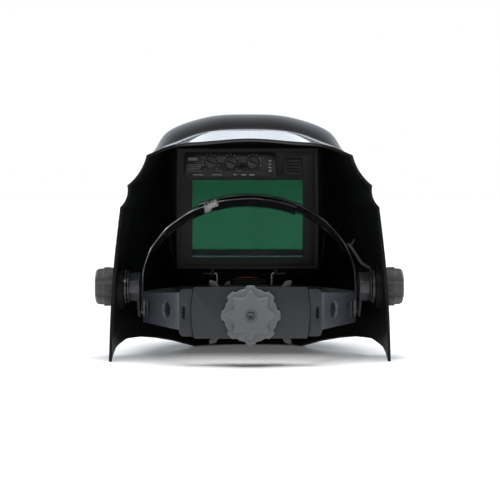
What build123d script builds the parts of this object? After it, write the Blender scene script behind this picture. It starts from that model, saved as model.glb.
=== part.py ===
from build123d import *
import os
from math import cos, pi, radians, sin, sqrt

os.makedirs("parts", exist_ok=True)

# A welding helmet standing on its chin and its two rear corners. Millimetres, +Z up, the lens faces -Y,
# the wearer's left is +X. The origin is the middle of the floor footprint.

# ---- driving dimensions ----
SIDES = {"left": 1, "right": -1}
REAR_Y = 80.0  # rearmost station of the shell before its rim is trimmed
FRONT_Y = -127.5  # outside of the front window wall
WALL = 2.5  # shell wall
TIP_Y = 77.5  # rear lower corners
PIVOT_Y, PIVOT_Z = 40.0, 61.0  # tilt axis, along X
BOLT_R = 4.0
RUN = 0.06  # radial clearance of a running fit
GAP = 0.3  # air between pieces of different bodies

PAD_IN, PAD_OUT, PAD_R = 107.5, 114.5, 19.0  # flat pivot pads of the shell
SPACER_IN, SPACER_OUT, SPACER_R = 104.4, 107.3, 13.6
WASHER_IN, WASHER_OUT, WASHER_R = 102.6, 104.2, 13.0
BOSS_IN, BOSS_OUT, BOSS_R = 93.7, 102.4, 13.0
KNOB_IN, KNOB_OUT, KNOB_R = 114.8, 131.5, 15.3

WINDOW_W, WINDOW_LOW, WINDOW_HIGH = 120.0, 76.0, 176.0
CARTRIDGE_W, CARTRIDGE_LOW, CARTRIDGE_HIGH = 126.0, 73.0, 179.8
CARTRIDGE_FRONT, CARTRIDGE_MID, CARTRIDGE_BACK = -122.3, -110.0, -97.5
VIEW_W, VIEW_LOW, VIEW_HIGH = 103.0, 81.0, 153.0
FRONT_W, FRONT_LOW, FRONT_HIGH = 105.0, 87.8, 157.0  # opening of the front case
DIALS = {"shade": 34.0, "sensitivity": 15.5, "delay": -5.0}
DIAL_Z, DIAL_R, DIAL_SHAFT_R = 169.3, 6.2, 1.5
CELL_X, CELL_Z, CELL_R = -42.5, 165.7, 10.0
BAIL_X, BAIL_HALF, BAIL_Y, BAIL_Z, BAIL_R, BAIL_DROP = 3.0, 25.7, -103.0, 65.6, 1.0, 24.0

BAND_T = 1.9  # thickness of the bands
BAND_LOW, BAND_HIGH = 30.0, 56.0
BAND_HALF = 88.9  # outside of the forehead band at its ends
BAND_END_Y, BAND_DEPTH = 28.0, 93.0
STRAP_HALF = 91.1  # outside of the rear straps beside the pivot
CROWN_HALF, CROWN_T, CROWN_WIDTH = 93.3, 1.8, 20.0
RIVET_Y, RIVET_Z, RIVET_R = 20.0, 43.0, 2.5
LEAN = 20.0  # forward lean of the crown strap, degrees
CROWN_TOP = 100.0  # height of the crown arch over the rivets, along its lean
STEP = 3.4  # how much lower the left half of the crown strap runs

KNOB_Z = 41.7  # ratchet axis, along Y
BASE_Y, CAVITY_Y, CAVITY_END_Y, COVER_Y, REAR_END_Y = 105.5, 108.0, 112.7, 115.5, 127.5
COVER_HALF, COVER_LOW, COVER_HIGH = 48.0, 22.4, 64.0
SLEEVE_HALF, SLEEVE_BACK = 58.3, 113.2
PITCH_R, TEETH = 6.0, 8
RACK_Z, RACK_REACH = 43.8, 7.7  # middle of the racks, and their toothed edges from the pinion axis


def clamp(value):
    return max(0.0, min(1.0, value))


def half_outline(y):
    """Half section of the shell's outside at one station, from its lower edge up to the crown."""
    t = max(0.0, (REAR_Y - y) / (REAR_Y - FRONT_Y))
    sweep_in = 0.5 * (1 + cos(pi * t))
    taper = 1 - t**2.5
    ridge = 1 - t**3
    rise = 1 - (1 - clamp((t - 0.33) / 0.2)) ** 2
    fall = 1 - clamp((t - 0.65) / 0.35) ** 2
    dome = rise * fall
    shelf = clamp((t - 0.15) / 0.18) * fall
    chin = clamp((-90 - y) / 37.5)
    crown = 185.6 + 9.5 * t + 7.5 * shelf + 13 * dome
    return [
        (30 + 88 * sweep_in, -6 + 74 * chin),
        (70 + 46.5 * sweep_in, 40 + 30 * chin**2),
        (72 + 41.3 * taper, 84),
        (76 + 32.3 * taper, 129),
        (76 + 26.5 * taper, 147 + 3 * t),
        (75 + 11.7 * ridge, 172 + 8 * t),
        (65 - 2 * t + 7 * dome, 180 + 12 * t + 10 * dome),
        (38 - 3 * t, crown - 2.6 + 0.4 * t),
        (0, crown),
    ]


def inset(points, amount):
    """The same open outline moved inwards by the wall, mitred at its corners."""
    moved = []
    for i, (x, z) in enumerate(points):
        x0, z0 = points[max(i - 1, 0)]
        x1, z1 = points[min(i + 1, len(points) - 1)]
        a = Vector(x - x0, z - z0) if i > 0 else Vector(x1 - x, z1 - z)
        b = Vector(x1 - x, z1 - z) if i < len(points) - 1 else Vector(-1, 0)
        a, b = a.normalized(), b.normalized()
        normal = Vector(-(a.Y + b.Y), a.X + b.X).normalized()
        reach = amount / max(0.5, sqrt((1 + a.dot(b)) / 2))
        moved.append((x + normal.X * reach, z + normal.Y * reach))
    moved[0] = (moved[0][0], points[0][1])
    moved[-1] = (0, points[-1][1] - amount)
    return moved


def shell_section(y, wall, floor_shift):
    """Closed face of one station: the sides in straight runs, the crown as one spline."""
    half = half_outline(y)
    if wall:
        half = inset(half, wall)
    half[0] = (half[0][0], half[0][1] + floor_shift)
    side, crown = half[:6], half[5:]
    mirrored = [(-x, z) for x, z in half]
    with BuildSketch(Plane.XZ.offset(-y)) as face:
        with BuildLine():
            Polyline(*side)
            Spline(*crown, *reversed(mirrored[5:-1]))
            Polyline(*reversed(mirrored[:6]))
            Line(mirrored[0], half[0])
        make_face()
    return face.sketch


STATIONS = [80, 50, 27, 8, -6, -25, -50, -75, -90, -103, -115, -120, -124.5]
CHIN_Y, CHIN_WALL, CHIN_RAMP = -90.0, 3.0, 10.0  # where the chin leaves the floor, its wall, where it is full
with BuildPart() as hollow:
    loft([shell_section(y, WALL, CHIN_WALL * clamp((CHIN_Y - y) / CHIN_RAMP)) for y in [84] + STATIONS], ruled=True)

with BuildPart() as shell:
    loft([shell_section(y, 0, 0) for y in STATIONS + [FRONT_Y]], ruled=True)
    add(hollow.part, mode=Mode.SUBTRACT)
    for sign in SIDES.values():
        with BuildSketch(Plane.YZ.offset(min(sign * 95, sign * PAD_IN))):
            with Locations((PIVOT_Y, PIVOT_Z)):
                Circle(PAD_R - 2)
        extrude(amount=PAD_IN - 95, mode=Mode.SUBTRACT)
        with BuildSketch(Plane.YZ.offset(min(sign * PAD_IN, sign * PAD_OUT))):
            with Locations((PIVOT_Y, PIVOT_Z)):
                Circle(PAD_R)
        extrude(amount=PAD_OUT - PAD_IN)
    # the side view of the shell: rear rim, rising lower edge and flat chin
    with BuildSketch(Plane.YZ):
        with BuildLine():
            Polyline((-70, 0), (-135, 0), (-135, 220), (44, 220), (52, 187), (62, 172), (71, 147))
            Polyline((71, 147), (74, 129), (77, 84), (TIP_Y, 20), (TIP_Y, 0), (76, 0), (68, 5.5), (57, 10.5))
            Spline((57, 10.5), (30, 15.2), (0, 14.5), (-45, 7), (-70, 0))
        make_face()
    extrude(amount=140, both=True, mode=Mode.INTERSECT)
    # front window
    with BuildSketch(Plane.XZ.offset(118)):
        with Locations((0, (WINDOW_LOW + WINDOW_HIGH) / 2)):
            RectangleRounded(WINDOW_W, WINDOW_HIGH - WINDOW_LOW, 6)
    extrude(amount=20, mode=Mode.SUBTRACT)
    # pivot holes
    with BuildSketch(Plane.YZ):
        with Locations((PIVOT_Y, PIVOT_Z)):
            Circle(BOLT_R + RUN)
    extrude(amount=140, both=True, mode=Mode.SUBTRACT)
shell.part.label = "shell"
export_step(shell.part, "parts/shell.step")


# ---- lens window ----
def plate(half_width, low, high, y_front, y_back, x=0.0):
    """Plain upright sheet facing the wearer."""
    with BuildPart() as sheet:
        with BuildSketch(Plane.XZ.offset(-y_back)):
            with Locations((x, (low + high) / 2)):
                Rectangle(2 * half_width, high - low)
        extrude(amount=y_back - y_front)
    return sheet.part


cover_lens = plate(65.0, 71.0, 181.0, -124.2, -123.0)
cover_lens.label = "cover_lens"
export_step(cover_lens, "parts/cover_lens.step")

FRAME_FRONT, FRAME_BACK, FRAME_W, FRAME_H = -122.6, -101.0, 133.0, 113.4
EAR_T, EAR_OUT = 3.0, 4.0  # ears that carry the bail, and how far outside its legs they stand
with BuildPart() as holder:
    with BuildSketch(Plane.XZ.offset(-FRAME_BACK)):
        with Locations((0, (CARTRIDGE_LOW + CARTRIDGE_HIGH) / 2)):
            Rectangle(FRAME_W, FRAME_H)
            Rectangle(CARTRIDGE_W + 0.4, CARTRIDGE_HIGH - CARTRIDGE_LOW + 0.4, mode=Mode.SUBTRACT)
    extrude(amount=FRAME_BACK - FRAME_FRONT)
    # ears under the frame that carry the wire bail
    for side in (-1, 1):
        with BuildSketch(Plane.YZ.offset(BAIL_X + side * (BAIL_HALF + EAR_OUT) - EAR_T / 2)):
            with Locations((BAIL_Y, 67.0)):
                Rectangle(6, 8)
        extrude(amount=EAR_T)
    with BuildSketch(Plane.YZ.offset(BAIL_X)):
        with Locations((BAIL_Y, BAIL_Z)):
            Circle(BAIL_R + RUN)
    extrude(amount=60, both=True, mode=Mode.SUBTRACT)
holder.part.label = "cartridge_holder"
export_step(holder.part, "parts/cartridge_holder.step")

with BuildPart() as bail:
    reach = BAIL_HALF + 12.8
    with BuildLine():
        FilletPolyline(
            (BAIL_X - reach, BAIL_Y, BAIL_Z),
            (BAIL_X - BAIL_HALF, BAIL_Y, BAIL_Z),
            (BAIL_X - BAIL_HALF, BAIL_Y, BAIL_Z - BAIL_DROP),
            (BAIL_X + BAIL_HALF, BAIL_Y, BAIL_Z - BAIL_DROP),
            (BAIL_X + BAIL_HALF, BAIL_Y, BAIL_Z),
            (BAIL_X + reach, BAIL_Y, BAIL_Z),
            radius=1.8,
        )
    with BuildSketch(Plane.YZ.offset(BAIL_X - reach)):
        with Locations((BAIL_Y, BAIL_Z)):
            Circle(BAIL_R)
    sweep()
bail.part.label = "wire_bail"
export_step(bail.part, "parts/wire_bail.step")

# the label lies against the sloping chin wall under the window
CHIN_SLOPE = 26.87
LABEL_W, LABEL_H, LABEL_T = 50.0, 22.0, 0.6
label_plane = Plane(
    origin=(BAIL_X, -119.0, 54.6),
    x_dir=(1, 0, 0),
    z_dir=(0, cos(radians(CHIN_SLOPE)), sin(radians(CHIN_SLOPE))),
)
with BuildPart() as label:
    with BuildSketch(label_plane):
        Rectangle(LABEL_W, LABEL_H)
    extrude(amount=LABEL_T)
label.part.label = "inner_label"
export_step(label.part, "parts/inner_label.step")

# ---- cartridge ----
middle_z = (CARTRIDGE_LOW + CARTRIDGE_HIGH) / 2
view_z = (VIEW_LOW + VIEW_HIGH) / 2
case_h = CARTRIDGE_HIGH - CARTRIDGE_LOW
with BuildPart() as front_case:
    with BuildSketch(Plane.XZ.offset(-CARTRIDGE_MID)):
        with Locations((0, middle_z)):
            Rectangle(CARTRIDGE_W, case_h)
    extrude(amount=CARTRIDGE_MID - CARTRIDGE_FRONT)
    with BuildSketch(Plane.XZ.offset(-CARTRIDGE_MID)):
        with Locations((0, middle_z)):
            Rectangle(CARTRIDGE_W - 4, case_h - 4)
    extrude(amount=CARTRIDGE_MID - CARTRIDGE_FRONT - 2, mode=Mode.SUBTRACT)
    with BuildSketch(Plane.XZ.offset(-CARTRIDGE_MID)):
        with Locations((0, (FRONT_LOW + FRONT_HIGH) / 2)):
            Rectangle(FRONT_W, FRONT_HIGH - FRONT_LOW)
    extrude(amount=20, mode=Mode.SUBTRACT)
front_case.part.label = "cartridge_front_case"
export_step(front_case.part, "parts/cartridge_front_case.step")

with BuildPart() as rear_case:
    with BuildSketch(Plane.XZ.offset(-CARTRIDGE_BACK)):
        with Locations((0, middle_z)):
            Rectangle(CARTRIDGE_W, case_h)
    extrude(amount=CARTRIDGE_BACK - CARTRIDGE_MID)
    with BuildSketch(Plane.XZ.offset(-CARTRIDGE_BACK + 2)):
        with Locations((0, middle_z)):
            Rectangle(CARTRIDGE_W - 4, case_h - 4)
    extrude(amount=20, mode=Mode.SUBTRACT)
    with BuildSketch(Plane.XZ.offset(90)):
        with Locations((0, view_z)):
            Rectangle(VIEW_W, VIEW_HIGH - VIEW_LOW)
        with Locations((CELL_X, CELL_Z)):
            Rectangle(13, 12)
        with Locations(*[(x, DIAL_Z) for x in DIALS.values()]):
            Circle(DIAL_SHAFT_R + RUN)
    extrude(amount=20, mode=Mode.SUBTRACT)
rear_case.part.label = "cartridge_rear_case"
export_step(rear_case.part, "parts/cartridge_rear_case.step")

filter_glass = plate(52.5, 79.0, 155.0, -107.5, -101.3)
filter_glass.label = "filter_glass"
export_step(filter_glass, "parts/filter_glass.step")

inner_lens = plate(53.5, 79.0, 155.0, -101.0, -99.8)
inner_lens.label = "inner_cover_lens"
export_step(inner_lens, "parts/inner_cover_lens.step")

PANEL_BACK = -95.5
with BuildPart() as panel:
    with BuildSketch(Plane.XZ.offset(-PANEL_BACK)):
        with Locations((16, 166.7)):
            RectangleRounded(86, 23.4, 3)
        with Locations(*[(x, DIAL_Z) for x in DIALS.values()]):
            Circle(DIAL_SHAFT_R + RUN, mode=Mode.SUBTRACT)
    extrude(amount=PANEL_BACK - CARTRIDGE_BACK)
panel.part.label = "control_plate"
export_step(panel.part, "parts/control_plate.step")


def dial(x):
    """Control dial: knurled head with a pointer slot, on a thin shaft."""
    with BuildPart() as body:
        with BuildSketch(Plane.XZ.offset(-PANEL_BACK - 0.2)):
            with Locations((x, DIAL_Z)):
                Circle(DIAL_R)
                with PolarLocations(DIAL_R, 18):
                    Circle(0.45, mode=Mode.SUBTRACT)
        extrude(amount=-4.2)
        chamfer(body.faces().sort_by(Axis.Y)[-1].edges(), 0.4)
        with BuildSketch(Plane.XZ.offset(-PANEL_BACK - 4.4)):
            with Locations((x, DIAL_Z)):
                Rectangle(1.6, 9)
        extrude(amount=1.2, mode=Mode.SUBTRACT)
        with BuildSketch(Plane.XZ.offset(-PANEL_BACK - 0.2)):
            with Locations((x, DIAL_Z)):
                Circle(DIAL_SHAFT_R)
        extrude(amount=9.5)
    return body.part


for name, x in DIALS.items():
    turned = dial(x)
    turned.label = f"{name}_dial"
    export_step(turned, f"parts/{name}_dial.step")

with BuildPart() as battery_cover:
    with BuildSketch(Plane.XZ.offset(95.7)):
        with Locations((CELL_X, CELL_Z)):
            RectangleRounded(17, 15, 1.5)
    extrude(amount=1.6)
    with BuildSketch(Plane.XZ.offset(95.7)):
        with Locations(*[(CELL_X, CELL_Z + step) for step in (-4.2, -1.4, 1.4, 4.2)]):
            Rectangle(12, 1.2)
    extrude(amount=0.8, mode=Mode.SUBTRACT)
battery_cover.part.label = "battery_cover"
export_step(battery_cover.part, "parts/battery_cover.step")

with BuildPart() as cells:
    for y in (-100.2, -103.6):
        with BuildSketch(Plane.XZ.offset(-y)):
            with Locations((CELL_X, CELL_Z)):
                Circle(CELL_R)
        extrude(amount=3.2)
cells.part.label = "coin_cells"
export_step(cells.part, "parts/coin_cells.step")

with BuildPart() as board:
    with BuildSketch(Plane.XZ.offset(102.4)):
        with Locations((14.5, 166.5)):
            Rectangle(91, 20)
        with Locations(*[(x, DIAL_Z) for x in DIALS.values()]):
            Circle(DIAL_SHAFT_R + RUN, mode=Mode.SUBTRACT)
    extrude(amount=1.6)
    with BuildSketch(Plane.XZ.offset(104)):
        with Locations(*[(x, DIAL_Z - 8.5) for x in DIALS.values()]):
            Rectangle(7, 3)
    extrude(amount=2.5)
board.part.label = "circuit_board"
export_step(board.part, "parts/circuit_board.step")

solar_cell = plate(48.0, 162.0, 174.0, -122.9, CARTRIDGE_FRONT)
solar_cell.label = "solar_cell"
export_step(solar_cell, "parts/solar_cell.step")

with BuildPart() as sensors:
    with BuildSketch(Plane.XZ.offset(-CARTRIDGE_FRONT)):
        with Locations((-56.6, 94), (56.6, 94), (-56.6, 140), (56.6, 140)):
            Circle(2.8)
    extrude(amount=0.6)
sensors.part.label = "arc_sensors"
export_step(sensors.part, "parts/arc_sensors.step")


# ---- side pivots ----
def ring(sign, near, far, radius, bore, lugs=0):
    """Washer on the tilt axis between two distances from the middle, with optional rim lugs."""
    with BuildPart() as body:
        with BuildSketch(Plane.YZ.offset(min(sign * near, sign * far))):
            with Locations((PIVOT_Y, PIVOT_Z)):
                Circle(radius)
                if lugs:
                    with PolarLocations(radius, lugs):
                        Rectangle(1.6, 1.6)
                Circle(bore, mode=Mode.SUBTRACT)
        extrude(amount=far - near)
    return body.part


def tension_knob(sign):
    """Outer knob: eight grip lugs round a domed cup."""
    with BuildPart() as body:
        with BuildSketch(Plane.YZ.offset(min(sign * KNOB_IN, sign * KNOB_OUT))):
            with Locations((PIVOT_Y, PIVOT_Z)):
                Circle(KNOB_R)
                with PolarLocations(KNOB_R - 1.6, 8):
                    Circle(3.0)
        extrude(amount=KNOB_OUT - KNOB_IN)
        outer = body.faces().sort_by(Axis.X)[-1 if sign > 0 else 0]
        fillet(outer.edges(), 1.6)
        with BuildSketch(Plane.YZ.offset(min(sign * (KNOB_IN - 1), sign * (KNOB_OUT - 3.5)))):
            with Locations((PIVOT_Y, PIVOT_Z)):
                Circle(BOLT_R + RUN)
        extrude(amount=KNOB_OUT - KNOB_IN - 2.5, mode=Mode.SUBTRACT)
    return body.part


def pivot_bolt(sign):
    """Bolt held in the side boss by its head; its shank runs through the shell into the knob."""
    with BuildPart() as body:
        with BuildSketch(Plane.YZ.offset(min(sign * 93.8, sign * 96.8))):
            with Locations((PIVOT_Y, PIVOT_Z)):
                Circle(6.0)
        extrude(amount=3)
        with BuildSketch(Plane.YZ.offset(min(sign * 93.8, sign * 127.5))):
            with Locations((PIVOT_Y, PIVOT_Z)):
                Circle(BOLT_R)
        extrude(amount=33.7)
    return body.part


def side_boss(sign):
    """Eight-sided boss of the headgear round the pivot bolt, with a lug down to the band rivet."""
    with BuildPart() as body:
        with BuildSketch(Plane.YZ.offset(min(sign * BOSS_IN, sign * BOSS_OUT))):
            with Locations((PIVOT_Y, PIVOT_Z)):
                RegularPolygon(BOSS_R, 8, rotation=22.5)
        extrude(amount=BOSS_OUT - BOSS_IN)
        with BuildSketch(Plane.YZ.offset(min(sign * BOSS_IN, sign * (BOSS_IN + 2.5)))):
            with BuildLine():
                Polyline((14, 36), (26, 34), (44, 50), (34, 72), (14, 50), (14, 36))
            make_face()
        extrude(amount=2.5)
        with BuildSketch(Plane.YZ.offset(min(sign * 96.85, sign * 104))):
            with Locations((PIVOT_Y, PIVOT_Z)):
                Circle(BOLT_R + 0.02)
        extrude(amount=7.15, mode=Mode.SUBTRACT)
        with BuildSketch(Plane.YZ.offset(min(sign * 90, sign * 96.85))):
            with Locations((PIVOT_Y, PIVOT_Z)):
                Circle(6.1)
        extrude(amount=6.85, mode=Mode.SUBTRACT)
        with BuildSketch(Plane.YZ.offset(min(sign * 90, sign * 104))):
            with Locations((RIVET_Y, RIVET_Z)):
                Circle(RIVET_R + 0.02)
        extrude(amount=14, mode=Mode.SUBTRACT)
    return body.part


for side, sign in SIDES.items():
    spacer = ring(sign, SPACER_IN, SPACER_OUT, SPACER_R, BOLT_R + RUN, 24)
    spacer.label = f"spacer_{side}"
    export_step(spacer, f"parts/spacer_{side}.step")
    knob = tension_knob(sign)
    knob.label = f"tension_knob_{side}"
    export_step(knob, f"parts/tension_knob_{side}.step")
    bolt = pivot_bolt(sign)
    bolt.label = f"pivot_bolt_{side}"
    export_step(bolt, f"parts/pivot_bolt_{side}.step")
    boss = side_boss(sign)
    boss.label = f"side_boss_{side}"
    export_step(boss, f"parts/side_boss_{side}.step")

stop_washer = ring(1, WASHER_IN, WASHER_OUT, WASHER_R, BOLT_R + RUN, 12)
stop_washer.label = "stop_washer"
export_step(stop_washer, "parts/stop_washer.step")

# tilt-limit lever: a ring on the right pivot, an arm that bends in over the boss, a fork at its end
with BuildPart() as lever:
    with BuildSketch(Plane.YZ.offset(-WASHER_OUT)):
        with Locations((PIVOT_Y, PIVOT_Z)):
            Circle(WASHER_R)
        with Locations((PIVOT_Y, PIVOT_Z + 11)):
            Rectangle(9, 10)
        with Locations((PIVOT_Y, PIVOT_Z)):
            Circle(BOLT_R + RUN, mode=Mode.SUBTRACT)
    extrude(amount=WASHER_OUT - WASHER_IN)
    with BuildSketch(Plane.XZ.offset(-PIVOT_Y - 3.5)):
        with BuildLine():
            Polyline((-104.2, 74), (-104.2, 78), (-97, 82), (-87.6, 96), (-91, 101), (-89.4, 102))
            Polyline((-89.4, 102), (-86.6, 97.5), (-84.2, 98), (-83.6, 96), (-86.2, 94), (-95, 80), (-102.6, 75.8))
            Polyline((-102.6, 75.8), (-102.6, 74), (-104.2, 74))
        make_face()
    extrude(amount=7)
lever.part.label = "tilt_limit_lever"
export_step(lever.part, "parts/tilt_limit_lever.step")

# ---- headgear bands ----
front_y = BAND_END_Y - BAND_DEPTH


def band_face(outer_half, outer_depth, thickness):
    """Plan of a U-shaped band: half an ellipse in front, open behind."""
    with BuildSketch(Plane.XY.offset(BAND_LOW)) as face:
        with Locations((0, BAND_END_Y)):
            Ellipse(outer_half, outer_depth)
            Ellipse(outer_half - thickness, outer_depth - thickness, mode=Mode.SUBTRACT)
        with Locations((0, BAND_END_Y + 100)):
            Rectangle(220, 200, mode=Mode.SUBTRACT)
    return face.sketch


with BuildPart() as forehead_band:
    add(band_face(BAND_HALF, BAND_DEPTH, BAND_T))
    extrude(amount=BAND_HIGH - BAND_LOW)
    with BuildSketch(Plane.YZ):
        with Locations((RIVET_Y, RIVET_Z)):
            Circle(RIVET_R + 0.02)
    extrude(amount=100, both=True, mode=Mode.SUBTRACT)
    for z in (38.5, 48.5):
        with BuildSketch(Plane.XZ.offset(30)):
            with Locations((-36, z), (-18, z), (0, z), (18, z), (36, z)):
                SlotOverall(10, 3)
        extrude(amount=60, mode=Mode.SUBTRACT)
forehead_band.part.label = "forehead_band"
export_step(forehead_band.part, "parts/forehead_band.step")

with BuildPart() as sweatband:
    with BuildSketch(Plane.XY.offset(BAND_LOW - 1)):
        with Locations((0, BAND_END_Y)):
            Ellipse(BAND_HALF - BAND_T - GAP, BAND_DEPTH - BAND_T - GAP)
            Ellipse(BAND_HALF - BAND_T - 5.3, BAND_DEPTH - BAND_T - 5.3, mode=Mode.SUBTRACT)
        with Locations((0, BAND_END_Y + 50)):
            Rectangle(220, 200, mode=Mode.SUBTRACT)
    extrude(amount=BAND_HIGH - BAND_LOW + 2)
sweatband.part.label = "sweatband"
export_step(sweatband.part, "parts/sweatband.step")


def rear_strap(sign):
    """Side strap from beside the pivot back to its sleeve, taller towards the ratchet."""
    middle = STRAP_HALF - BAND_T / 2
    with BuildPart() as body:
        with BuildSketch(Plane.XY.offset(20)):
            with BuildLine() as path:
                FilletPolyline(
                    (sign * middle, 15),
                    (sign * middle, 45),
                    (sign * 58, 105),
                    (sign * 51, 109.4),
                    radius=9,
                )
            trace(path.line, BAND_T)
        extrude(amount=45)
        with BuildSketch(Plane.YZ):
            with BuildLine():
                Polyline((10, 31), (45, 30.9), (112, 28.6), (112, 59.8), (45, 55.6), (10, 55.6), (10, 31))
            make_face()
        extrude(amount=120, both=True, mode=Mode.INTERSECT)
        # slot for the sliding band rivet, and the two openings of the strap
        with BuildSketch(Plane.YZ):
            with Locations((28, RIVET_Z)):
                SlotOverall(22, 2 * RIVET_R + 0.8)
            with Locations((51.5, 43)):
                Rectangle(13, 13.5)
            with Locations((85, 44)):
                Ellipse(6.4, 7.0)
        extrude(amount=sign * 120, mode=Mode.SUBTRACT)
    return body.part


# the crown pin goes through both halves of the strap, square to the arch
PIN_X = 38.0
pin_up = sqrt(1 - (PIN_X / CROWN_HALF) ** 2) * (CROWN_TOP - 20)
pin_tilt = Vector(PIN_X / CROWN_HALF**2, pin_up / (CROWN_TOP - 20) ** 2).normalized()
PIN_PLANE = Plane(
    origin=(PIN_X, RIVET_Y - (pin_up + 20) * sin(radians(LEAN)), RIVET_Z + (pin_up + 20) * cos(radians(LEAN))),
    x_dir=(0, cos(radians(LEAN)), sin(radians(LEAN))),
    z_dir=(pin_tilt.X, -pin_tilt.Y * sin(radians(LEAN)), pin_tilt.Y * cos(radians(LEAN))),
)


def crown_arch(sign, lower, stop_x):
    """One half of the crown strap, from its rivet eye up over the top to stop_x on the other side."""
    top = CROWN_TOP - lower
    centre = 20.0
    lean_plane = Plane(
        origin=(0, RIVET_Y, RIVET_Z),
        x_dir=(1, 0, 0),
        z_dir=(0, cos(radians(LEAN)), sin(radians(LEAN))),
    )
    # the plane's own vertical must point up along the lean
    with BuildPart() as body:
        with BuildSketch(lean_plane.offset(-CROWN_WIDTH / 2)):
            with Locations((0, -centre)):
                Ellipse(CROWN_HALF, top - centre)
                Ellipse(CROWN_HALF - CROWN_T, top - centre - CROWN_T, mode=Mode.SUBTRACT)
                with Locations((0, 100)):
                    Rectangle(300, 200, mode=Mode.SUBTRACT)
            with Locations((-sign * (150 + stop_x), 0)):
                Rectangle(300, 400, mode=Mode.SUBTRACT)
            with Locations((sign * (CROWN_HALF - CROWN_T / 2), -centre / 2 + 4)):
                Rectangle(CROWN_T, centre + 8)
        extrude(amount=CROWN_WIDTH)
        with BuildSketch(Plane.YZ):
            with Locations((RIVET_Y, RIVET_Z)):
                Circle(RIVET_R + RUN)
        extrude(amount=sign * 120, mode=Mode.SUBTRACT)
        with BuildSketch(PIN_PLANE.offset(-8)):
            Circle(RIVET_R + RUN)
        extrude(amount=16, mode=Mode.SUBTRACT)
    return body.part


for side, sign in SIDES.items():
    strap = rear_strap(sign)
    strap.label = f"rear_strap_{side}"
    export_step(strap, f"parts/rear_strap_{side}.step")

# the right half lies over the left half across the top
half = crown_arch(1, STEP, 41.6)
half.label = "crown_strap_left"
export_step(half, "parts/crown_strap_left.step")
half = crown_arch(-1, 0, 44.0)
half.label = "crown_strap_right"
export_step(half, "parts/crown_strap_right.step")

with BuildPart() as crown_pin:
    with BuildSketch(PIN_PLANE.offset(0.05)):
        Circle(5.5)
    extrude(amount=2.2)
    with BuildSketch(PIN_PLANE.offset(-6.4)):
        Circle(RIVET_R)
    extrude(amount=7)
    with BuildSketch(PIN_PLANE.offset(-6.4)):
        Circle(3.6)
    extrude(amount=1)
    fillet(crown_pin.edges().filter_by(GeomType.CIRCLE).sort_by(Axis.Z)[-1], 0.8)
crown_pin.part.label = "crown_pin"
export_step(crown_pin.part, "parts/crown_pin.step")

with BuildPart() as rivets:
    for sign in SIDES.values():
        for radius, near, far in ((4.0, 84.6, 86.1), (RIVET_R, 84.6, 97.4), (4.0, 96.3, 97.4)):
            with BuildSketch(Plane.YZ.offset(min(sign * near, sign * far))):
                with Locations((RIVET_Y, RIVET_Z)):
                    Circle(radius)
            extrude(amount=far - near)
rivets.part.label = "band_rivets"
export_step(rivets.part, "parts/band_rivets.step")

# ---- ratchet at the nape ----
BASE_LOW, BASE_HIGH = 24.0, 62.4


def cover_outline(grow):
    """Outline of the ratchet cover with bowed ends, as a face, grown by a gap."""
    low, high, half = COVER_LOW - grow, COVER_HIGH + grow, COVER_HALF + 0.4 + grow
    with BuildSketch(Plane.XZ.offset(-CAVITY_Y)) as face:
        with BuildLine():
            Line((-46 - grow, low), (46 + grow, low))
            ThreePointArc((46 + grow, low), (half, (low + high) / 2), (46 + grow, high))
            Line((46 + grow, high), (-46 - grow, high))
            ThreePointArc((-46 - grow, high), (-half, (low + high) / 2), (-46 - grow, low))
        make_face()
    return face.sketch


with BuildPart() as ratchet_base:
    with BuildSketch(Plane.XZ.offset(-CAVITY_Y)):
        with Locations((0, (BASE_LOW + BASE_HIGH) / 2)):
            RectangleRounded(2 * SLEEVE_HALF, BASE_HIGH - BASE_LOW, 4)
    extrude(amount=CAVITY_Y - BASE_Y)
    # sleeves round the straps, their inner ends bowed like the cover
    with BuildSketch(Plane.XZ.offset(-CAVITY_Y)):
        with Locations((0, (BASE_LOW + BASE_HIGH) / 2)):
            RectangleRounded(2 * SLEEVE_HALF, BASE_HIGH - BASE_LOW, 4)
    extrude(amount=CAVITY_Y - SLEEVE_BACK)
    extrude(cover_outline(0.5), amount=9, dir=(0, 1, 0), mode=Mode.SUBTRACT)
    with BuildSketch(Plane.XZ.offset(-CAVITY_Y)):
        with Locations((0, KNOB_Z)):
            Circle(3 + RUN)
    extrude(amount=CAVITY_Y - BASE_Y, mode=Mode.SUBTRACT)
    for sign in SIDES.values():
        with BuildSketch(Plane.XY.offset(26)):
            with BuildLine() as path:
                Polyline((sign * 66, 91.5), (sign * 58, 105), (sign * 51, 109.4), (sign * 47, 111.9))
            trace(path.line, BAND_T + 0.8)
        extrude(amount=35.6, mode=Mode.SUBTRACT)
    with BuildSketch(Plane.XZ.offset(-SLEEVE_BACK)):
        with Locations((54.6, 43.5), (-54.6, 43.5)):
            SlotOverall(10, 2.8, rotation=90)
    extrude(amount=5, mode=Mode.SUBTRACT)
ratchet_base.part.label = "ratchet_base"
export_step(ratchet_base.part, "parts/ratchet_base.step")

with BuildPart() as ratchet_cover:
    extrude(cover_outline(0), amount=9, dir=(0, 1, 0))
    with BuildSketch(Plane.XY.offset(COVER_LOW)):
        with BuildLine():
            Polyline((60, 114), (60, 105), (-60, 105), (-60, 114))
            ThreePointArc((-60, 114), (0, COVER_Y), (60, 114))
        make_face()
    extrude(amount=COVER_HIGH - COVER_LOW, mode=Mode.INTERSECT)
    with BuildSketch(Plane.XZ.offset(-CAVITY_END_Y)):
        with Locations((0, 43.8)):
            Rectangle(110, 33)
    extrude(amount=10, mode=Mode.SUBTRACT)
    with BuildSketch(Plane.XZ.offset(-120)):
        with Locations((0, KNOB_Z)):
            Circle(BOLT_R + RUN)
    extrude(amount=20, mode=Mode.SUBTRACT)
ratchet_cover.part.label = "ratchet_cover"
export_step(ratchet_cover.part, "parts/ratchet_cover.step")

TOOTH_PITCH = 2 * pi * PITCH_R / TEETH


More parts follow.
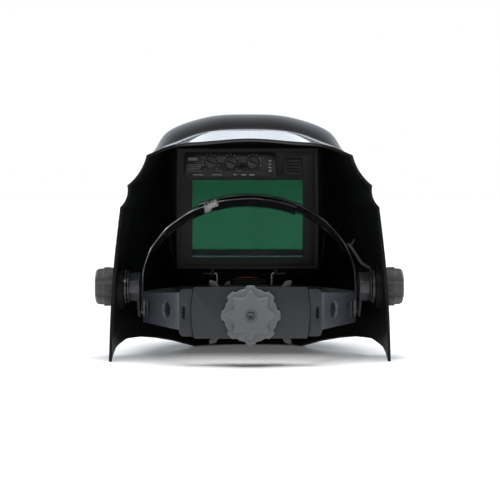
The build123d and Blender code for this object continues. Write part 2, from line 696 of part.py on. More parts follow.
def rack(sign):
    """Toothed end of one rear strap: the left one is driven along its upper edge, the right along its lower."""
    y_back = 110.0 if sign > 0 else 112.2
    edge = KNOB_Z + sign * RACK_REACH
    with BuildPart() as body:
        with BuildSketch(Plane.XZ.offset(-y_back)):
            with Locations((sign * 10.5, RACK_Z)):
                Rectangle(73, 28)
            with Locations((sign * 8, (edge + KNOB_Z - sign * 8.2) / 2)):
                Rectangle(35, 15.9, mode=Mode.SUBTRACT)
            with Locations(*[(sign * (k + 0.5) * TOOTH_PITCH, edge - sign * 1.1) for k in range(-2, 5)]):
                Rectangle(1.5, 2.8)
        extrude(amount=1.6)
    return body.part


for side, sign in SIDES.items():
    strip = rack(sign)
    strip.label = f"strap_rack_{side}"
    export_step(strip, f"parts/strap_rack_{side}.step")

with BuildPart() as pinion:
    with BuildSketch(Plane.XZ.offset(-112.5)):
        with Locations((0, KNOB_Z)):
            Circle(4.4)
            with PolarLocations(5.5, TEETH):
                Trapezoid(1.7, 3.5, 86, rotation=-90)
    extrude(amount=4.2)
    for radius, near, far in ((3.0, 106.2, 108.3), (BOLT_R, 112.5, 119.4)):
        with BuildSketch(Plane.XZ.offset(-far)):
            with Locations((0, KNOB_Z)):
                Circle(radius)
        extrude(amount=far - near)
    with BuildSketch(Plane.XZ.offset(-120)):
        with Locations((0, KNOB_Z)):
            Circle(1.5)
    extrude(amount=9, mode=Mode.SUBTRACT)
pinion.part.label = "pinion"
export_step(pinion.part, "parts/pinion.step")

with BuildPart() as spring:
    with BuildSketch(Plane.XZ.offset(-117.2)):
        with Locations((0, KNOB_Z)):
            Circle(13)
            Circle(8.5, mode=Mode.SUBTRACT)
    extrude(amount=1.6)
spring.part.label = "detent_spring"
export_step(spring.part, "parts/detent_spring.step")

LOBES = 8
SHELF_R, STAR_R, STAR_TIP = 22.2, 15.2, 19.9  # rim between the grip tabs, hub of the star, tips of the star
with BuildPart() as ratchet_knob:
    with BuildSketch(Plane.XZ.offset(-124.0)):
        with Locations((0, KNOB_Z)):
            Circle(SHELF_R)
            with PolarLocations(SHELF_R - 1.6, LOBES, start_angle=90):
                Rectangle(7.2, 7.0)
    extrude(amount=124.0 - 116.0)
    with BuildSketch(Plane.XZ.offset(-REAR_END_Y)):
        with Locations((0, KNOB_Z)):
            Circle(STAR_R)
            with PolarLocations(STAR_TIP - 3.4, LOBES, start_angle=90):
                Circle(3.4)
    extrude(amount=REAR_END_Y - 124.0)
    chamfer(ratchet_knob.faces().sort_by(Axis.Y)[-1].edges(), 0.6)
    for radius, near, far in ((14.0, 115, 118.2), (BOLT_R, 115, 119.5), (1.5, 115, 128), (3.7, 124.0, 128)):
        with BuildSketch(Plane.XZ.offset(-far)):
            with Locations((0, KNOB_Z)):
                Circle(radius)
        extrude(amount=far - near, mode=Mode.SUBTRACT)
ratchet_knob.part.label = "ratchet_knob"
export_step(ratchet_knob.part, "parts/ratchet_knob.step")

with BuildPart() as screw:
    for radius, near, far in ((3.4, 124.0, 126.0), (1.5, 112.0, 124.0)):
        with BuildSketch(Plane.XZ.offset(-far)):
            with Locations((0, KNOB_Z)):
                Circle(radius)
        extrude(amount=far - near)
    with BuildSketch(Plane.XZ.offset(-126)):
        with Locations((0, KNOB_Z)):
            Rectangle(4, 0.9)
            Rectangle(0.9, 4)
    extrude(amount=1.2, mode=Mode.SUBTRACT)
screw.part.label = "knob_screw"
export_step(screw.part, "parts/knob_screw.step")

BRACKET_Z = 43.3
arm = [(24.7, 19.8), (28.4, 25.2), (33.3, 26.4), (34.0, 23.6), (30.4, 18.4), (9, 0)]
quarter = [(x, BRACKET_Z + z) for x, z in arm]
lower = [(x, BRACKET_Z - z) for x, z in reversed(arm[:-1])]
right_arms = [(0, BRACKET_Z + 6)] + quarter + lower + [(0, BRACKET_Z - 6)]
BRACKET_ARMS = right_arms + [(-x, z) for x, z in reversed(right_arms[1:-1])]
with BuildPart() as nape_bracket:
    with BuildSketch(Plane.XZ.offset(-105.3)):
        with BuildLine():
            Polyline(*BRACKET_ARMS, BRACKET_ARMS[0])
        make_face()
    extrude(amount=2)
nape_bracket.part.label = "nape_bracket"
export_step(nape_bracket.part, "parts/nape_bracket.step")

with BuildPart() as nape_pad:
    with BuildSketch(Plane.XZ.offset(-103)):
        with Locations((0, 43.5)):
            RectangleRounded(76, 34, 12)
    extrude(amount=6.5)
nape_pad.part.label = "nape_pad"
export_step(nape_pad.part, "parts/nape_pad.step")
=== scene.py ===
"""Welding helmet: the visual model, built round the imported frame. Metres, +Z up, the lens faces -Y."""

import logging
import math
from dataclasses import dataclass
from enum import Enum
from typing import Callable, Sequence

import bmesh
import bpy
import numpy as np
from mathutils import Matrix, Vector


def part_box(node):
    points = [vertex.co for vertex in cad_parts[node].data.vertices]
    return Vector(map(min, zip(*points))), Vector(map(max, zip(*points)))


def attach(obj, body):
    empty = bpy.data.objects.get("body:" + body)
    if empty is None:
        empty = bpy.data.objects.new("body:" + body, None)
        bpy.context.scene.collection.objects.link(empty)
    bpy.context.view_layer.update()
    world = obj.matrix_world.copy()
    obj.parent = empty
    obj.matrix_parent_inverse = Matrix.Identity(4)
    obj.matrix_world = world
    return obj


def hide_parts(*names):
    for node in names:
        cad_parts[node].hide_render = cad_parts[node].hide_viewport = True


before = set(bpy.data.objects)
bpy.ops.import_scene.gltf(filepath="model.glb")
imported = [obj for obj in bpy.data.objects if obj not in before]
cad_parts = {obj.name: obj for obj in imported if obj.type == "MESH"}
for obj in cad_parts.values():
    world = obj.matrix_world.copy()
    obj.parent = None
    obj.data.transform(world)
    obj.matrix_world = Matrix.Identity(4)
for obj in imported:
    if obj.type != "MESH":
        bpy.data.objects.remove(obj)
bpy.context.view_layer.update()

logging.basicConfig(level=logging.INFO, format="%(levelname)s %(message)s")
LOG = logging.getLogger("welding_helmet")

MM = 0.001
Point = tuple[float, float, float]
Colour = tuple[float, float, float]
TreeEnds = tuple[bpy.types.NodeTree, bpy.types.Node, bpy.types.Node]


class Axis(Enum):
    """Axis that a turned piece is built round."""

    X = Vector((1, 0, 0))
    Y = Vector((0, 1, 0))
    Z = Vector((0, 0, 1))


# ---------------------------------------------------------------- node helpers


def add_node(tree: bpy.types.NodeTree, kind: str, **settings: object) -> bpy.types.Node:
    """Adds one node and sets its attributes.

    Args:
        tree: The tree it goes into.
        kind: Blender's identifier of the node.
        **settings: Attributes to set on it.

    Returns:
        The new node.
    """
    node = tree.nodes.new(kind)
    for name, value in settings.items():
        setattr(node, name, value)
    return node


def new_group(
    name: str, inputs: Sequence[tuple[str, str, object]], outputs: Sequence[tuple[str, str]]
) -> TreeEnds:
    """Starts a shader node group.

    Args:
        name: The group's name.
        inputs: Name, socket type and default value of each input.
        outputs: Name and socket type of each output.

    Returns:
        The group's tree, its input node and its output node.
    """
    tree = bpy.data.node_groups.new(name, "ShaderNodeTree")
    for label, kind, value in inputs:
        socket = tree.interface.new_socket(label, in_out="INPUT", socket_type=kind)
        socket.default_value = value
    for label, kind in outputs:
        tree.interface.new_socket(label, in_out="OUTPUT", socket_type=kind)
    return tree, add_node(tree, "NodeGroupInput"), add_node(tree, "NodeGroupOutput")


def grain_group() -> bpy.types.NodeTree:
    """Moulded-in grain: a fine height pattern and a slow colour drift."""
    tree, start, end = new_group(
        "moulded_grain",
        [
            ("Scale", "NodeSocketFloat", 900.0),
            ("Drift Scale", "NodeSocketFloat", 18.0),
            ("Fine", "NodeSocketFloat", 1.0),
        ],
        [("Height", "NodeSocketFloat"), ("Drift", "NodeSocketFloat")],
    )
    place = add_node(tree, "ShaderNodeTexCoord")
    fine = add_node(tree, "ShaderNodeTexNoise")
    fine.inputs["Detail"].default_value = 3.0
    slow = add_node(tree, "ShaderNodeTexNoise")
    slow.inputs["Detail"].default_value = 2.0
    gain = add_node(tree, "ShaderNodeMath", operation="MULTIPLY")
    link = tree.links.new
    link(place.outputs["Object"], fine.inputs["Vector"])
    link(place.outputs["Object"], slow.inputs["Vector"])
    link(start.outputs["Scale"], fine.inputs["Scale"])
    link(start.outputs["Drift Scale"], slow.inputs["Scale"])
    link(fine.outputs["Fac"], gain.inputs[0])
    link(start.outputs["Fine"], gain.inputs[1])
    link(gain.outputs[0], end.inputs["Height"])
    link(slow.outputs["Fac"], end.inputs["Drift"])
    return tree


def dust_group() -> bpy.types.NodeTree:
    """Faint settled dust and handling marks, as one mask."""
    tree, start, end = new_group(
        "settled_dust",
        [("Scale", "NodeSocketFloat", 220.0), ("Amount", "NodeSocketFloat", 0.12)],
        [("Mask", "NodeSocketFloat")],
    )
    place = add_node(tree, "ShaderNodeTexCoord")
    specks = add_node(tree, "ShaderNodeTexNoise")
    specks.inputs["Detail"].default_value = 6.0
    specks.inputs["Roughness"].default_value = 0.7
    cut = add_node(tree, "ShaderNodeMapRange")
    cut.inputs["From Min"].default_value = 0.56
    cut.inputs["From Max"].default_value = 0.8
    shape = add_node(tree, "ShaderNodeNewGeometry")
    split = add_node(tree, "ShaderNodeSeparateXYZ")
    upward = add_node(tree, "ShaderNodeMapRange")
    upward.inputs["From Min"].default_value = 0.1
    upward.inputs["From Max"].default_value = 0.9
    both = add_node(tree, "ShaderNodeMath", operation="MULTIPLY")
    gain = add_node(tree, "ShaderNodeMath", operation="MULTIPLY")
    link = tree.links.new
    link(place.outputs["Object"], specks.inputs["Vector"])
    link(start.outputs["Scale"], specks.inputs["Scale"])
    link(specks.outputs["Fac"], cut.inputs["Value"])
    link(shape.outputs["Normal"], split.inputs["Vector"])
    link(split.outputs["Z"], upward.inputs["Value"])
    link(cut.outputs["Result"], both.inputs[0])
    link(upward.outputs["Result"], both.inputs[1])
    link(both.outputs[0], gain.inputs[0])
    link(start.outputs["Amount"], gain.inputs[1])
    link(gain.outputs[0], end.inputs["Mask"])
    return tree


def weave_group() -> bpy.types.NodeTree:
    """Crossed threads of a knit or leather emboss, as height and shade."""
    tree, start, end = new_group(
        "crossed_threads",
        [("Scale", "NodeSocketFloat", 700.0)],
        [("Height", "NodeSocketFloat"), ("Shade", "NodeSocketFloat")],
    )
    place = add_node(tree, "ShaderNodeTexCoord")
    link = tree.links.new
    waves = []
    for axis in ("X", "Z"):
        wave = add_node(tree, "ShaderNodeTexWave", bands_direction=axis)
        wave.inputs["Distortion"].default_value = 0.6
        link(place.outputs["Object"], wave.inputs["Vector"])
        link(start.outputs["Scale"], wave.inputs["Scale"])
        waves.append(wave)
    higher = add_node(tree, "ShaderNodeMath", operation="MAXIMUM")
    noise = add_node(tree, "ShaderNodeTexNoise")
    noise.inputs["Scale"].default_value = 60.0
    link(place.outputs["Object"], noise.inputs["Vector"])
    link(waves[0].outputs["Fac"], higher.inputs[0])
    link(waves[1].outputs["Fac"], higher.inputs[1])
    link(higher.outputs[0], end.inputs["Height"])
    link(noise.outputs["Fac"], end.inputs["Shade"])
    return tree


class Groups:
    """The shared shader node groups, built once."""

    def __init__(self) -> None:
        """Builds all groups."""
        self.grain = grain_group()
        self.dust = dust_group()
        self.weave = weave_group()

    def place(self, tree: bpy.types.NodeTree, group: bpy.types.NodeTree, **values: float) -> bpy.types.Node:
        """Puts a group into a material.

        Args:
            tree: The material's tree.
            group: The group to place.
            **values: Input values; an underscore stands for a blank in the input's name.

        Returns:
            The group node.
        """
        node = add_node(tree, "ShaderNodeGroup", node_tree=group)
        for name, value in values.items():
            node.inputs[name.replace("_", " ")].default_value = value
        return node


GROUPS = Groups()


# ---------------------------------------------------------------- finishes


@dataclass(frozen=True)
class MouldedPlastic:
    """Moulded plastic with grain, a slow drift of shade and a little dust."""

    name: str
    colour: Colour
    roughness: float = 0.4
    coat: float = 0.0
    coat_roughness: float = 0.08
    specular: float = 0.5
    grain_scale: float = 1400.0
    bump: float = 0.05
    drift: float = 0.25
    dust: float = 0.1
    dust_colour: Colour = (0.35, 0.34, 0.33)

    def build(self) -> bpy.types.Material:
        """Builds the material.

        Returns:
            The new material.
        """
        mat = bpy.data.materials.new(self.name)
        mat.use_nodes = True
        tree = mat.node_tree
        shader = tree.nodes["Principled BSDF"]
        shader.inputs["Coat Weight"].default_value = self.coat
        shader.inputs["Coat Roughness"].default_value = self.coat_roughness
        shader.inputs["Specular IOR Level"].default_value = self.specular
        grain = GROUPS.place(tree, GROUPS.grain, Scale=self.grain_scale)
        dust = GROUPS.place(tree, GROUPS.dust, Amount=self.dust)
        shade = add_node(tree, "ShaderNodeMix", data_type="RGBA")
        shade.inputs["A"].default_value = (*[c * (1 - self.drift) for c in self.colour], 1)
        shade.inputs["B"].default_value = (*[c * (1 + self.drift) for c in self.colour], 1)
        dusty = add_node(tree, "ShaderNodeMix", data_type="RGBA")
        dusty.inputs["B"].default_value = (*self.dust_colour, 1)
        rough = add_node(tree, "ShaderNodeMapRange")
        rough.inputs["To Min"].default_value = self.roughness * 0.85
        rough.inputs["To Max"].default_value = min(1.0, self.roughness * 1.15)
        bump = add_node(tree, "ShaderNodeBump")
        bump.inputs["Strength"].default_value = self.bump
        bump.inputs["Distance"].default_value = 0.2 * MM
        link = tree.links.new
        link(grain.outputs["Drift"], shade.inputs["Factor"])
        link(shade.outputs["Result"], dusty.inputs["A"])
        link(dust.outputs["Mask"], dusty.inputs["Factor"])
        link(dusty.outputs["Result"], shader.inputs["Base Color"])
        link(grain.outputs["Drift"], rough.inputs["Value"])
        link(rough.outputs["Result"], shader.inputs["Roughness"])
        link(grain.outputs["Height"], bump.inputs["Height"])
        link(bump.outputs["Normal"], shader.inputs["Normal"])
        return mat


@dataclass(frozen=True)
class ShellPlastic:
    """Satin black of the shell, polished on the shelf behind the dome."""

    satin: MouldedPlastic
    shelf_y: float = 0.0085
    shelf_z: float = 0.181
    polish: float = 1.0

    def build(self) -> bpy.types.Material:
        """Builds the material.

        Returns:
            The new material.
        """
        mat = self.satin.build()
        tree = mat.node_tree
        shader = tree.nodes["Principled BSDF"]
        place = add_node(tree, "ShaderNodeTexCoord")
        split = add_node(tree, "ShaderNodeSeparateXYZ")
        behind = add_node(tree, "ShaderNodeMapRange")
        behind.inputs["From Min"].default_value = self.shelf_y - 0.8 * MM
        behind.inputs["From Max"].default_value = self.shelf_y + 0.8 * MM
        above = add_node(tree, "ShaderNodeMapRange")
        above.inputs["From Min"].default_value = self.shelf_z - 1 * MM
        above.inputs["From Max"].default_value = self.shelf_z + 1 * MM
        mask = add_node(tree, "ShaderNodeMath", operation="MULTIPLY")
        coat = add_node(tree, "ShaderNodeMath", operation="MULTIPLY")
        coat.inputs[1].default_value = self.polish
        link = tree.links.new
        link(place.outputs["Object"], split.inputs["Vector"])
        link(split.outputs["Y"], behind.inputs["Value"])
        link(split.outputs["Z"], above.inputs["Value"])
        link(behind.outputs["Result"], mask.inputs[0])
        link(above.outputs["Result"], mask.inputs[1])
        link(mask.outputs[0], coat.inputs[0])
        link(coat.outputs[0], shader.inputs["Coat Weight"])
        return mat


@dataclass(frozen=True)
class ClearSheet:
    """Thin clear polycarbonate: a see-through sheet with a faint reflection."""

    name: str
    tint: Colour = (0.93, 0.96, 0.95)
    shine: float = 0.12

    def build(self) -> bpy.types.Material:
        """Builds the material.

        Returns:
            The new material.
        """
        mat = bpy.data.materials.new(self.name)
        mat.use_nodes = True
        tree = mat.node_tree
        tree.nodes.remove(tree.nodes["Principled BSDF"])
        through = add_node(tree, "ShaderNodeBsdfTransparent")
        through.inputs["Color"].default_value = (*self.tint, 1)
        gloss = add_node(tree, "ShaderNodeBsdfGlossy")
        gloss.inputs["Roughness"].default_value = 0.08
        fresnel = add_node(tree, "ShaderNodeFresnel")
        fresnel.inputs["IOR"].default_value = 1.5
        share = add_node(tree, "ShaderNodeMath", operation="MULTIPLY")
        share.inputs[1].default_value = self.shine
        mix = add_node(tree, "ShaderNodeMixShader")
        link = tree.links.new
        link(fresnel.outputs["Fac"], share.inputs[0])
        link(share.outputs[0], mix.inputs["Fac"])
        link(through.outputs["BSDF"], mix.inputs[1])
        link(gloss.outputs["BSDF"], mix.inputs[2])
        link(mix.outputs["Shader"], tree.nodes["Material Output"].inputs["Surface"])
        return mat


@dataclass(frozen=True)
class FilterGlass:
    """Green filter in its light state: it lets a little green light through, with a painted dark strip at its
    foot: painted shade standing in for the shaded lower bezel seen through the glass.
    """

    name: str
    green: Colour = (0.0103, 0.0723, 0.0356)
    # painted shade: colour of the dark strip at the foot of the glass, in place of the shaded bezel seen
    # through it
    strip: Colour = (0.025, 0.043, 0.05)
    shade_strip_top: float = 0.0878
    shine: float = 0.03

    def build(self) -> bpy.types.Material:
        """Builds the material.

        Returns:
            The new material.
        """
        mat = bpy.data.materials.new(self.name)
        mat.use_nodes = True
        tree = mat.node_tree
        tree.nodes.remove(tree.nodes["Principled BSDF"])
        place = add_node(tree, "ShaderNodeTexCoord")
        split = add_node(tree, "ShaderNodeSeparateXYZ")
        height = add_node(tree, "ShaderNodeMapRange")
        height.inputs["From Min"].default_value = self.shade_strip_top - 0.3 * MM
        height.inputs["From Max"].default_value = self.shade_strip_top + 0.3 * MM
        through = add_node(tree, "ShaderNodeBsdfTransparent")
        # one closed slab is passed twice, so each face takes the root of the colour
        through.inputs["Color"].default_value = (*[math.sqrt(c) for c in self.green], 1)
        # painted shade: a flat dark diffuse strip below the top height, standing in for the shaded lower bezel
        # seen through the glass
        painted_shade_strip_bsdf = add_node(tree, "ShaderNodeBsdfDiffuse")
        painted_shade_strip_bsdf.inputs["Color"].default_value = (*self.strip, 1)
        body = add_node(tree, "ShaderNodeMixShader")
        gloss = add_node(tree, "ShaderNodeBsdfGlossy")
        gloss.inputs["Roughness"].default_value = 0.05
        gloss.inputs["Color"].default_value = (0.75, 0.9, 0.8, 1)
        fresnel = add_node(tree, "ShaderNodeFresnel")
        fresnel.inputs["IOR"].default_value = 1.5
        share = add_node(tree, "ShaderNodeMath", operation="MULTIPLY")
        share.inputs[1].default_value = self.shine
        mix = add_node(tree, "ShaderNodeMixShader")
        link = tree.links.new
        link(place.outputs["Object"], split.inputs["Vector"])
        link(split.outputs["Z"], height.inputs["Value"])
        link(height.outputs["Result"], body.inputs["Fac"])
        link(painted_shade_strip_bsdf.outputs["BSDF"], body.inputs[1])
        link(through.outputs["BSDF"], body.inputs[2])
        link(fresnel.outputs["Fac"], share.inputs[0])
        link(share.outputs[0], mix.inputs["Fac"])
        link(body.outputs["Shader"], mix.inputs[1])
        link(gloss.outputs["BSDF"], mix.inputs[2])
        link(mix.outputs["Shader"], tree.nodes["Material Output"].inputs["Surface"])
        return mat


@dataclass(frozen=True)
class PlatedSteel:
    """Plated or drawn steel with fine drawing marks."""

    name: str
    colour: Colour = (0.75, 0.76, 0.78)
    roughness: float = 0.25
    marks: float = 900.0

    def build(self) -> bpy.types.Material:
        """Builds the material.

        Returns:
            The new material.
        """
        mat = bpy.data.materials.new(self.name)
        mat.use_nodes = True
        tree = mat.node_tree
        shader = tree.nodes["Principled BSDF"]
        shader.inputs["Metallic"].default_value = 1.0
        grain = GROUPS.place(tree, GROUPS.grain, Scale=self.marks, Drift_Scale=90.0)
        shade = add_node(tree, "ShaderNodeMix", data_type="RGBA")
        shade.inputs["A"].default_value = (*[c * 0.8 for c in self.colour], 1)
        shade.inputs["B"].default_value = (*self.colour, 1)
        rough = add_node(tree, "ShaderNodeMapRange")
        rough.inputs["To Min"].default_value = self.roughness * 0.7
        rough.inputs["To Max"].default_value = self.roughness * 1.4
        bump = add_node(tree, "ShaderNodeBump")
        bump.inputs["Strength"].default_value = 0.08
        bump.inputs["Distance"].default_value = 0.1 * MM
        link = tree.links.new
        link(grain.outputs["Drift"], shade.inputs["Factor"])
        link(shade.outputs["Result"], shader.inputs["Base Color"])
        link(grain.outputs["Drift"], rough.inputs["Value"])
        link(rough.outputs["Result"], shader.inputs["Roughness"])
        link(grain.outputs["Height"], bump.inputs["Height"])
        link(bump.outputs["Normal"], shader.inputs["Normal"])
        return mat


@dataclass(frozen=True)
class SoftCover:
    """Cover of a pad: leatherette or knit."""

    name: str
    colour: Colour
    thread_scale: float = 700.0
    bump: float = 0.35
    roughness: float = 0.75
    sheen: float = 0.25

    def build(self) -> bpy.types.Material:
        """Builds the material.

        Returns:
            The new material.
        """
        mat = bpy.data.materials.new(self.name)
        mat.use_nodes = True
        tree = mat.node_tree
        shader = tree.nodes["Principled BSDF"]
        shader.inputs["Roughness"].default_value = self.roughness
        shader.inputs["Sheen Weight"].default_value = self.sheen
        shader.inputs["Sheen Tint"].default_value = (*self.colour, 1)
        weave = GROUPS.place(tree, GROUPS.weave, Scale=self.thread_scale)
        shade = add_node(tree, "ShaderNodeMix", data_type="RGBA")
        shade.inputs["A"].default_value = (*[c * 0.7 for c in self.colour], 1)
        shade.inputs["B"].default_value = (*[c * 1.3 for c in self.colour], 1)
        bump = add_node(tree, "ShaderNodeBump")
        bump.inputs["Strength"].default_value = self.bump
        bump.inputs["Distance"].default_value = 0.3 * MM
        link = tree.links.new
        link(weave.outputs["Shade"], shade.inputs["Factor"])
        link(shade.outputs["Result"], shader.inputs["Base Color"])
        link(weave.outputs["Height"], bump.inputs["Height"])
        link(bump.outputs["Normal"], shader.inputs["Normal"])
        return mat


@dataclass(frozen=True)
class PlainPrint:
    """Ink or film of one colour with faint unevenness."""

    name: str
    colour: Colour
    roughness: float = 0.5

    def build(self) -> bpy.types.Material:
        """Builds the material.

        Returns:
            The new material.
        """
        return MouldedPlastic(self.name, self.colour, self.roughness, drift=0.08, dust=0.0, bump=0.02).build()


class Finishes:
    """Every finish of the helmet, built once and shared by name."""

    def __init__(self) -> None:
        """Builds the materials."""
        satin = MouldedPlastic(
            "shell_black",
            (0.0093, 0.0085, 0.0083),
            0.42,
            coat_roughness=0.05,
            specular=0.12,
            bump=0.03,
            dust=0.03,
        )
        self.shell = ShellPlastic(satin).build()
        self.holder = MouldedPlastic("holder_satin_black", (0.007, 0.007, 0.0075), 0.4).build()
        self.case = MouldedPlastic("case_fine_black", (0.0075, 0.0075, 0.0078), 0.5, bump=0.12).build()
        self.panel = MouldedPlastic("panel_satin_black", (0.006, 0.006, 0.007), 0.34, bump=0.05).build()
        self.dial = MouldedPlastic("dial_grey", (0.11, 0.11, 0.113), 0.4).build()
        self.cover = MouldedPlastic("battery_cover_black", (0.012, 0.012, 0.013), 0.4).build()
        self.knob = MouldedPlastic(
            "knob_charcoal", (0.05, 0.05, 0.051), 0.45, bump=0.2, grain_scale=2200.0
        ).build()
        self.ratchet = MouldedPlastic(
            "ratchet_grey", (0.128, 0.134, 0.14), 0.45, bump=0.25, drift=0.32
        ).build()
        self.band = MouldedPlastic("band_charcoal", (0.063, 0.068, 0.081), 0.4, bump=0.06).build()
        self.housing = MouldedPlastic("housing_charcoal", (0.0165, 0.018, 0.0225), 0.42, bump=0.08).build()
        self.crown = MouldedPlastic(
            "crown_gloss_black", (0.01, 0.01, 0.011), 0.13, coat=1.0, bump=0.0, specular=0.7
        ).build()
        # painted highlight: pale grey colour standing in for light caught on the crown pin and its clip
        self.buckle = MouldedPlastic("buckle_painted_highlight", (0.55, 0.55, 0.54), 0.25, coat=0.5, bump=0.02).build()
        self.lever = MouldedPlastic("lever_black", (0.01, 0.01, 0.011), 0.35).build()
        self.spacer = MouldedPlastic("spacer_black", (0.02, 0.021, 0.024), 0.3, coat=0.35).build()
        self.clear = ClearSheet("clear_sheet").build()
        self.glass = FilterGlass("green_filter").build()
        # painted highlight: pale teal colour standing in for light caught on the lower edge of the inner cover
        # lens
        self.painted_edge_highlight = PlainPrint("glass_edge_painted_highlight", (0.35, 0.75, 0.78), 0.15).build()
        self.wire = PlatedSteel("bright_wire", (0.95, 0.95, 0.95), 0.25).build()
        self.zinc = PlatedSteel("dark_zinc", (0.1, 0.1, 0.105), 0.25).build()
        self.cell = PlatedSteel("cell_nickel", (0.7, 0.7, 0.68), 0.3).build()
        self.board = PlainPrint("board_green", (0.01, 0.09, 0.03), 0.35).build()
        self.solar = PlainPrint("solar_blue", (0.012, 0.014, 0.045), 0.12).build()
        self.sweat = SoftCover(
            "sweatband_leatherette", (0.01, 0.0095, 0.0095), 420.0, bump=0.25, roughness=0.6
        ).build()
        self.pad = SoftCover("nape_pad_knit", (0.012, 0.012, 0.013), 900.0).build()
        self.thread = PlainPrint("grey_thread", (0.12, 0.12, 0.12), 0.7).build()
        # painted shade: near-black finish laid where holes and recesses would show only their shaded inside
        self.painted_hole_shade = PlainPrint("painted_hole_shade_black", (0.002, 0.002, 0.002), 0.9).build()
        self.ink = PlainPrint("pale_ink", (0.85, 0.87, 0.88), 0.5).build()
        self.faint_ink = PlainPrint("faint_ink", (0.25, 0.25, 0.27), 0.5).build()
        self.white = PlainPrint("label_white", (0.92, 0.92, 0.9), 0.5).build()
        self.rust = PlainPrint("label_brown", (0.6, 0.12, 0.06), 0.4).build()
        self.dark = PlainPrint("label_dark", (0.012, 0.012, 0.013), 0.4).build()


# ---------------------------------------------------------------- mesh helpers


def piece_from(
    name: str, verts: Sequence[Point], faces: Sequence[Sequence[int]], mat: bpy.types.Material
) -> bpy.types.Object:
    """Makes a mesh object with its place in its mesh.

    Args:
        name: The piece's name.
        verts: Vertices in metres.
        faces: Faces as vertex indices.
        mat: Its finish.

    Returns:
        The new object.
    """
    mesh = bpy.data.meshes.new(name)
    mesh.from_pydata([tuple(v) for v in verts], [], [tuple(f) for f in faces])
    mesh.materials.append(mat)
    mesh.update()
    obj = bpy.data.objects.new(name, mesh)
    bpy.context.scene.collection.objects.link(obj)
    return obj


def mend(obj: bpy.types.Object, merge: float = 0.01 * MM, outward: bool = True) -> None:
    """Merges doubled vertices and turns the faces outwards.

    Args:
        obj: The piece.
        merge: Distance below which vertices merge.
        outward: Whether to recalculate the normals.
    """
    work = bmesh.new()
    work.from_mesh(obj.data)
    bmesh.ops.remove_doubles(work, verts=work.verts, dist=merge)
    if outward:
        bmesh.ops.recalc_face_normals(work, faces=work.faces)
    work.to_mesh(obj.data)
    work.free()


def smooth(obj: bpy.types.Object, angle: float = 35.0) -> None:
    """Shades a piece smooth, with sharp edges above an angle in degrees."""
    obj.data.polygons.foreach_set("use_smooth", [True] * len(obj.data.polygons))
    obj.data.set_sharp_from_angle(angle=math.radians(angle))


def settle(obj: bpy.types.Object) -> None:
    """Turns a piece's live modifiers into plain mesh."""
    graph = bpy.context.evaluated_depsgraph_get()
    mesh = bpy.data.meshes.new_from_object(obj.evaluated_get(graph), depsgraph=graph)
    old = obj.data
    obj.modifiers.clear()
    obj.data = mesh
    mesh.name = obj.name
    if old.users == 0:
        bpy.data.meshes.remove(old)


def bevel(obj: bpy.types.Object, width: float, segments: int = 2, angle: float = 30.0) -> None:
    """Rounds a piece's sharp edges.

    Args:
        obj: The piece.
        width: Bevel width in metres.
        segments: Steps across the bevel.
        angle: Least angle between faces, in degrees.
    """
    mod = obj.modifiers.new("rounded_edges", "BEVEL")
    mod.width = width
    mod.segments = segments
    mod.limit_method = "ANGLE"
    mod.angle_limit = math.radians(angle)
    mod.use_clamp_overlap = True
    mod.harden_normals = False
    settle(obj)


def rounded_copy(node: str, mat: bpy.types.Material, width: float, segments: int = 2) -> bpy.types.Object:
    """Copies a CAD node and rounds its edges; the copy then stands for the node.

    Args:
        node: The CAD node's name.
        mat: Its finish.
        width: Bevel width in metres.
        segments: Steps across the bevel.

    Returns:
        The new piece.
    """
    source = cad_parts[node]
    mesh = source.data.copy()
    mesh.materials.clear()
    mesh.materials.append(mat)
    obj = bpy.data.objects.new(node + "_moulded", mesh)
    bpy.context.scene.collection.objects.link(obj)
    mesh.polygons.foreach_set("material_index", [0] * len(mesh.polygons))
    work = bmesh.new()
    work.from_mesh(mesh)
    bmesh.ops.remove_doubles(work, verts=work.verts, dist=0.02 * MM)
    bmesh.ops.dissolve_limit(work, angle_limit=math.radians(1.0), verts=work.verts, edges=work.edges)
    work.to_mesh(mesh)
    work.free()
    bevel(obj, width, segments)
    smooth(obj)
    return obj


def stand_for(obj: bpy.types.Object, body: str, slot: str, *nodes: str) -> bpy.types.Object:
    """Rides a piece on its body and hides the CAD nodes that it stands for.

    Args:
        obj: The piece.
        body: The CAD body it moves with.
        slot: Not used.
        *nodes: CAD nodes it replaces.

    Returns:
        The same piece.
    """
    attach(obj, body)
    if nodes:
        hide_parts(*nodes)
    LOG.info("%s on %s, %d faces", obj.name, body, len(obj.data.polygons))
    return obj


def dress(node: str, mat: bpy.types.Material) -> None:
    """Gives a CAD node its finish."""
    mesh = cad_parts[node].data
    mesh.materials.clear()
    mesh.materials.append(mat)
    LOG.info("%s keeps its shape", node)


def turned(
    name: str,
    axis: Axis,
    centre: Vector,
    rings: Sequence[tuple[float, Callable[[float], float]]],
    count: int,
    mat: bpy.types.Material,
) -> bpy.types.Object:
    """Closed body round an axis whose radius may change with the angle.

    Args:
        name: The piece's name.
        axis: The axis it is built round.
        centre: A point on the axis.
        rings: Distance along the axis and radius as a function of angle, from one end to the other.
        count: Points in each ring.
        mat: Its finish.

    Returns:
        The new piece.
    """
    along = axis.value
    first = Vector((0, 0, 1)) if axis is not Axis.Z else Vector((1, 0, 0))
    second = along.cross(first)
    verts: list[Point] = []
    for distance, radius in rings:
        for i in range(count):
            angle = 2 * math.pi * i / count
            reach = radius(angle)
            outward = first * math.cos(angle) + second * math.sin(angle)
            verts.append(centre + along * distance + outward * reach)
    faces = []
    for ring in range(len(rings) - 1):
        for i in range(count):
            j = (i + 1) % count
            faces.append((ring * count + i, ring * count + j, (ring + 1) * count + j, (ring + 1) * count + i))
    for ring, flip in ((0, True), (len(rings) - 1, False)):
        middle = len(verts)
        verts.append(centre + along * rings[ring][0])
        for i in range(count):
            j = (i + 1) % count
            a, b = ring * count + i, ring * count + j
            faces.append((middle, b, a) if flip else (middle, a, b))
    obj = piece_from(name, verts, faces, mat)
    mend(obj)
    return obj


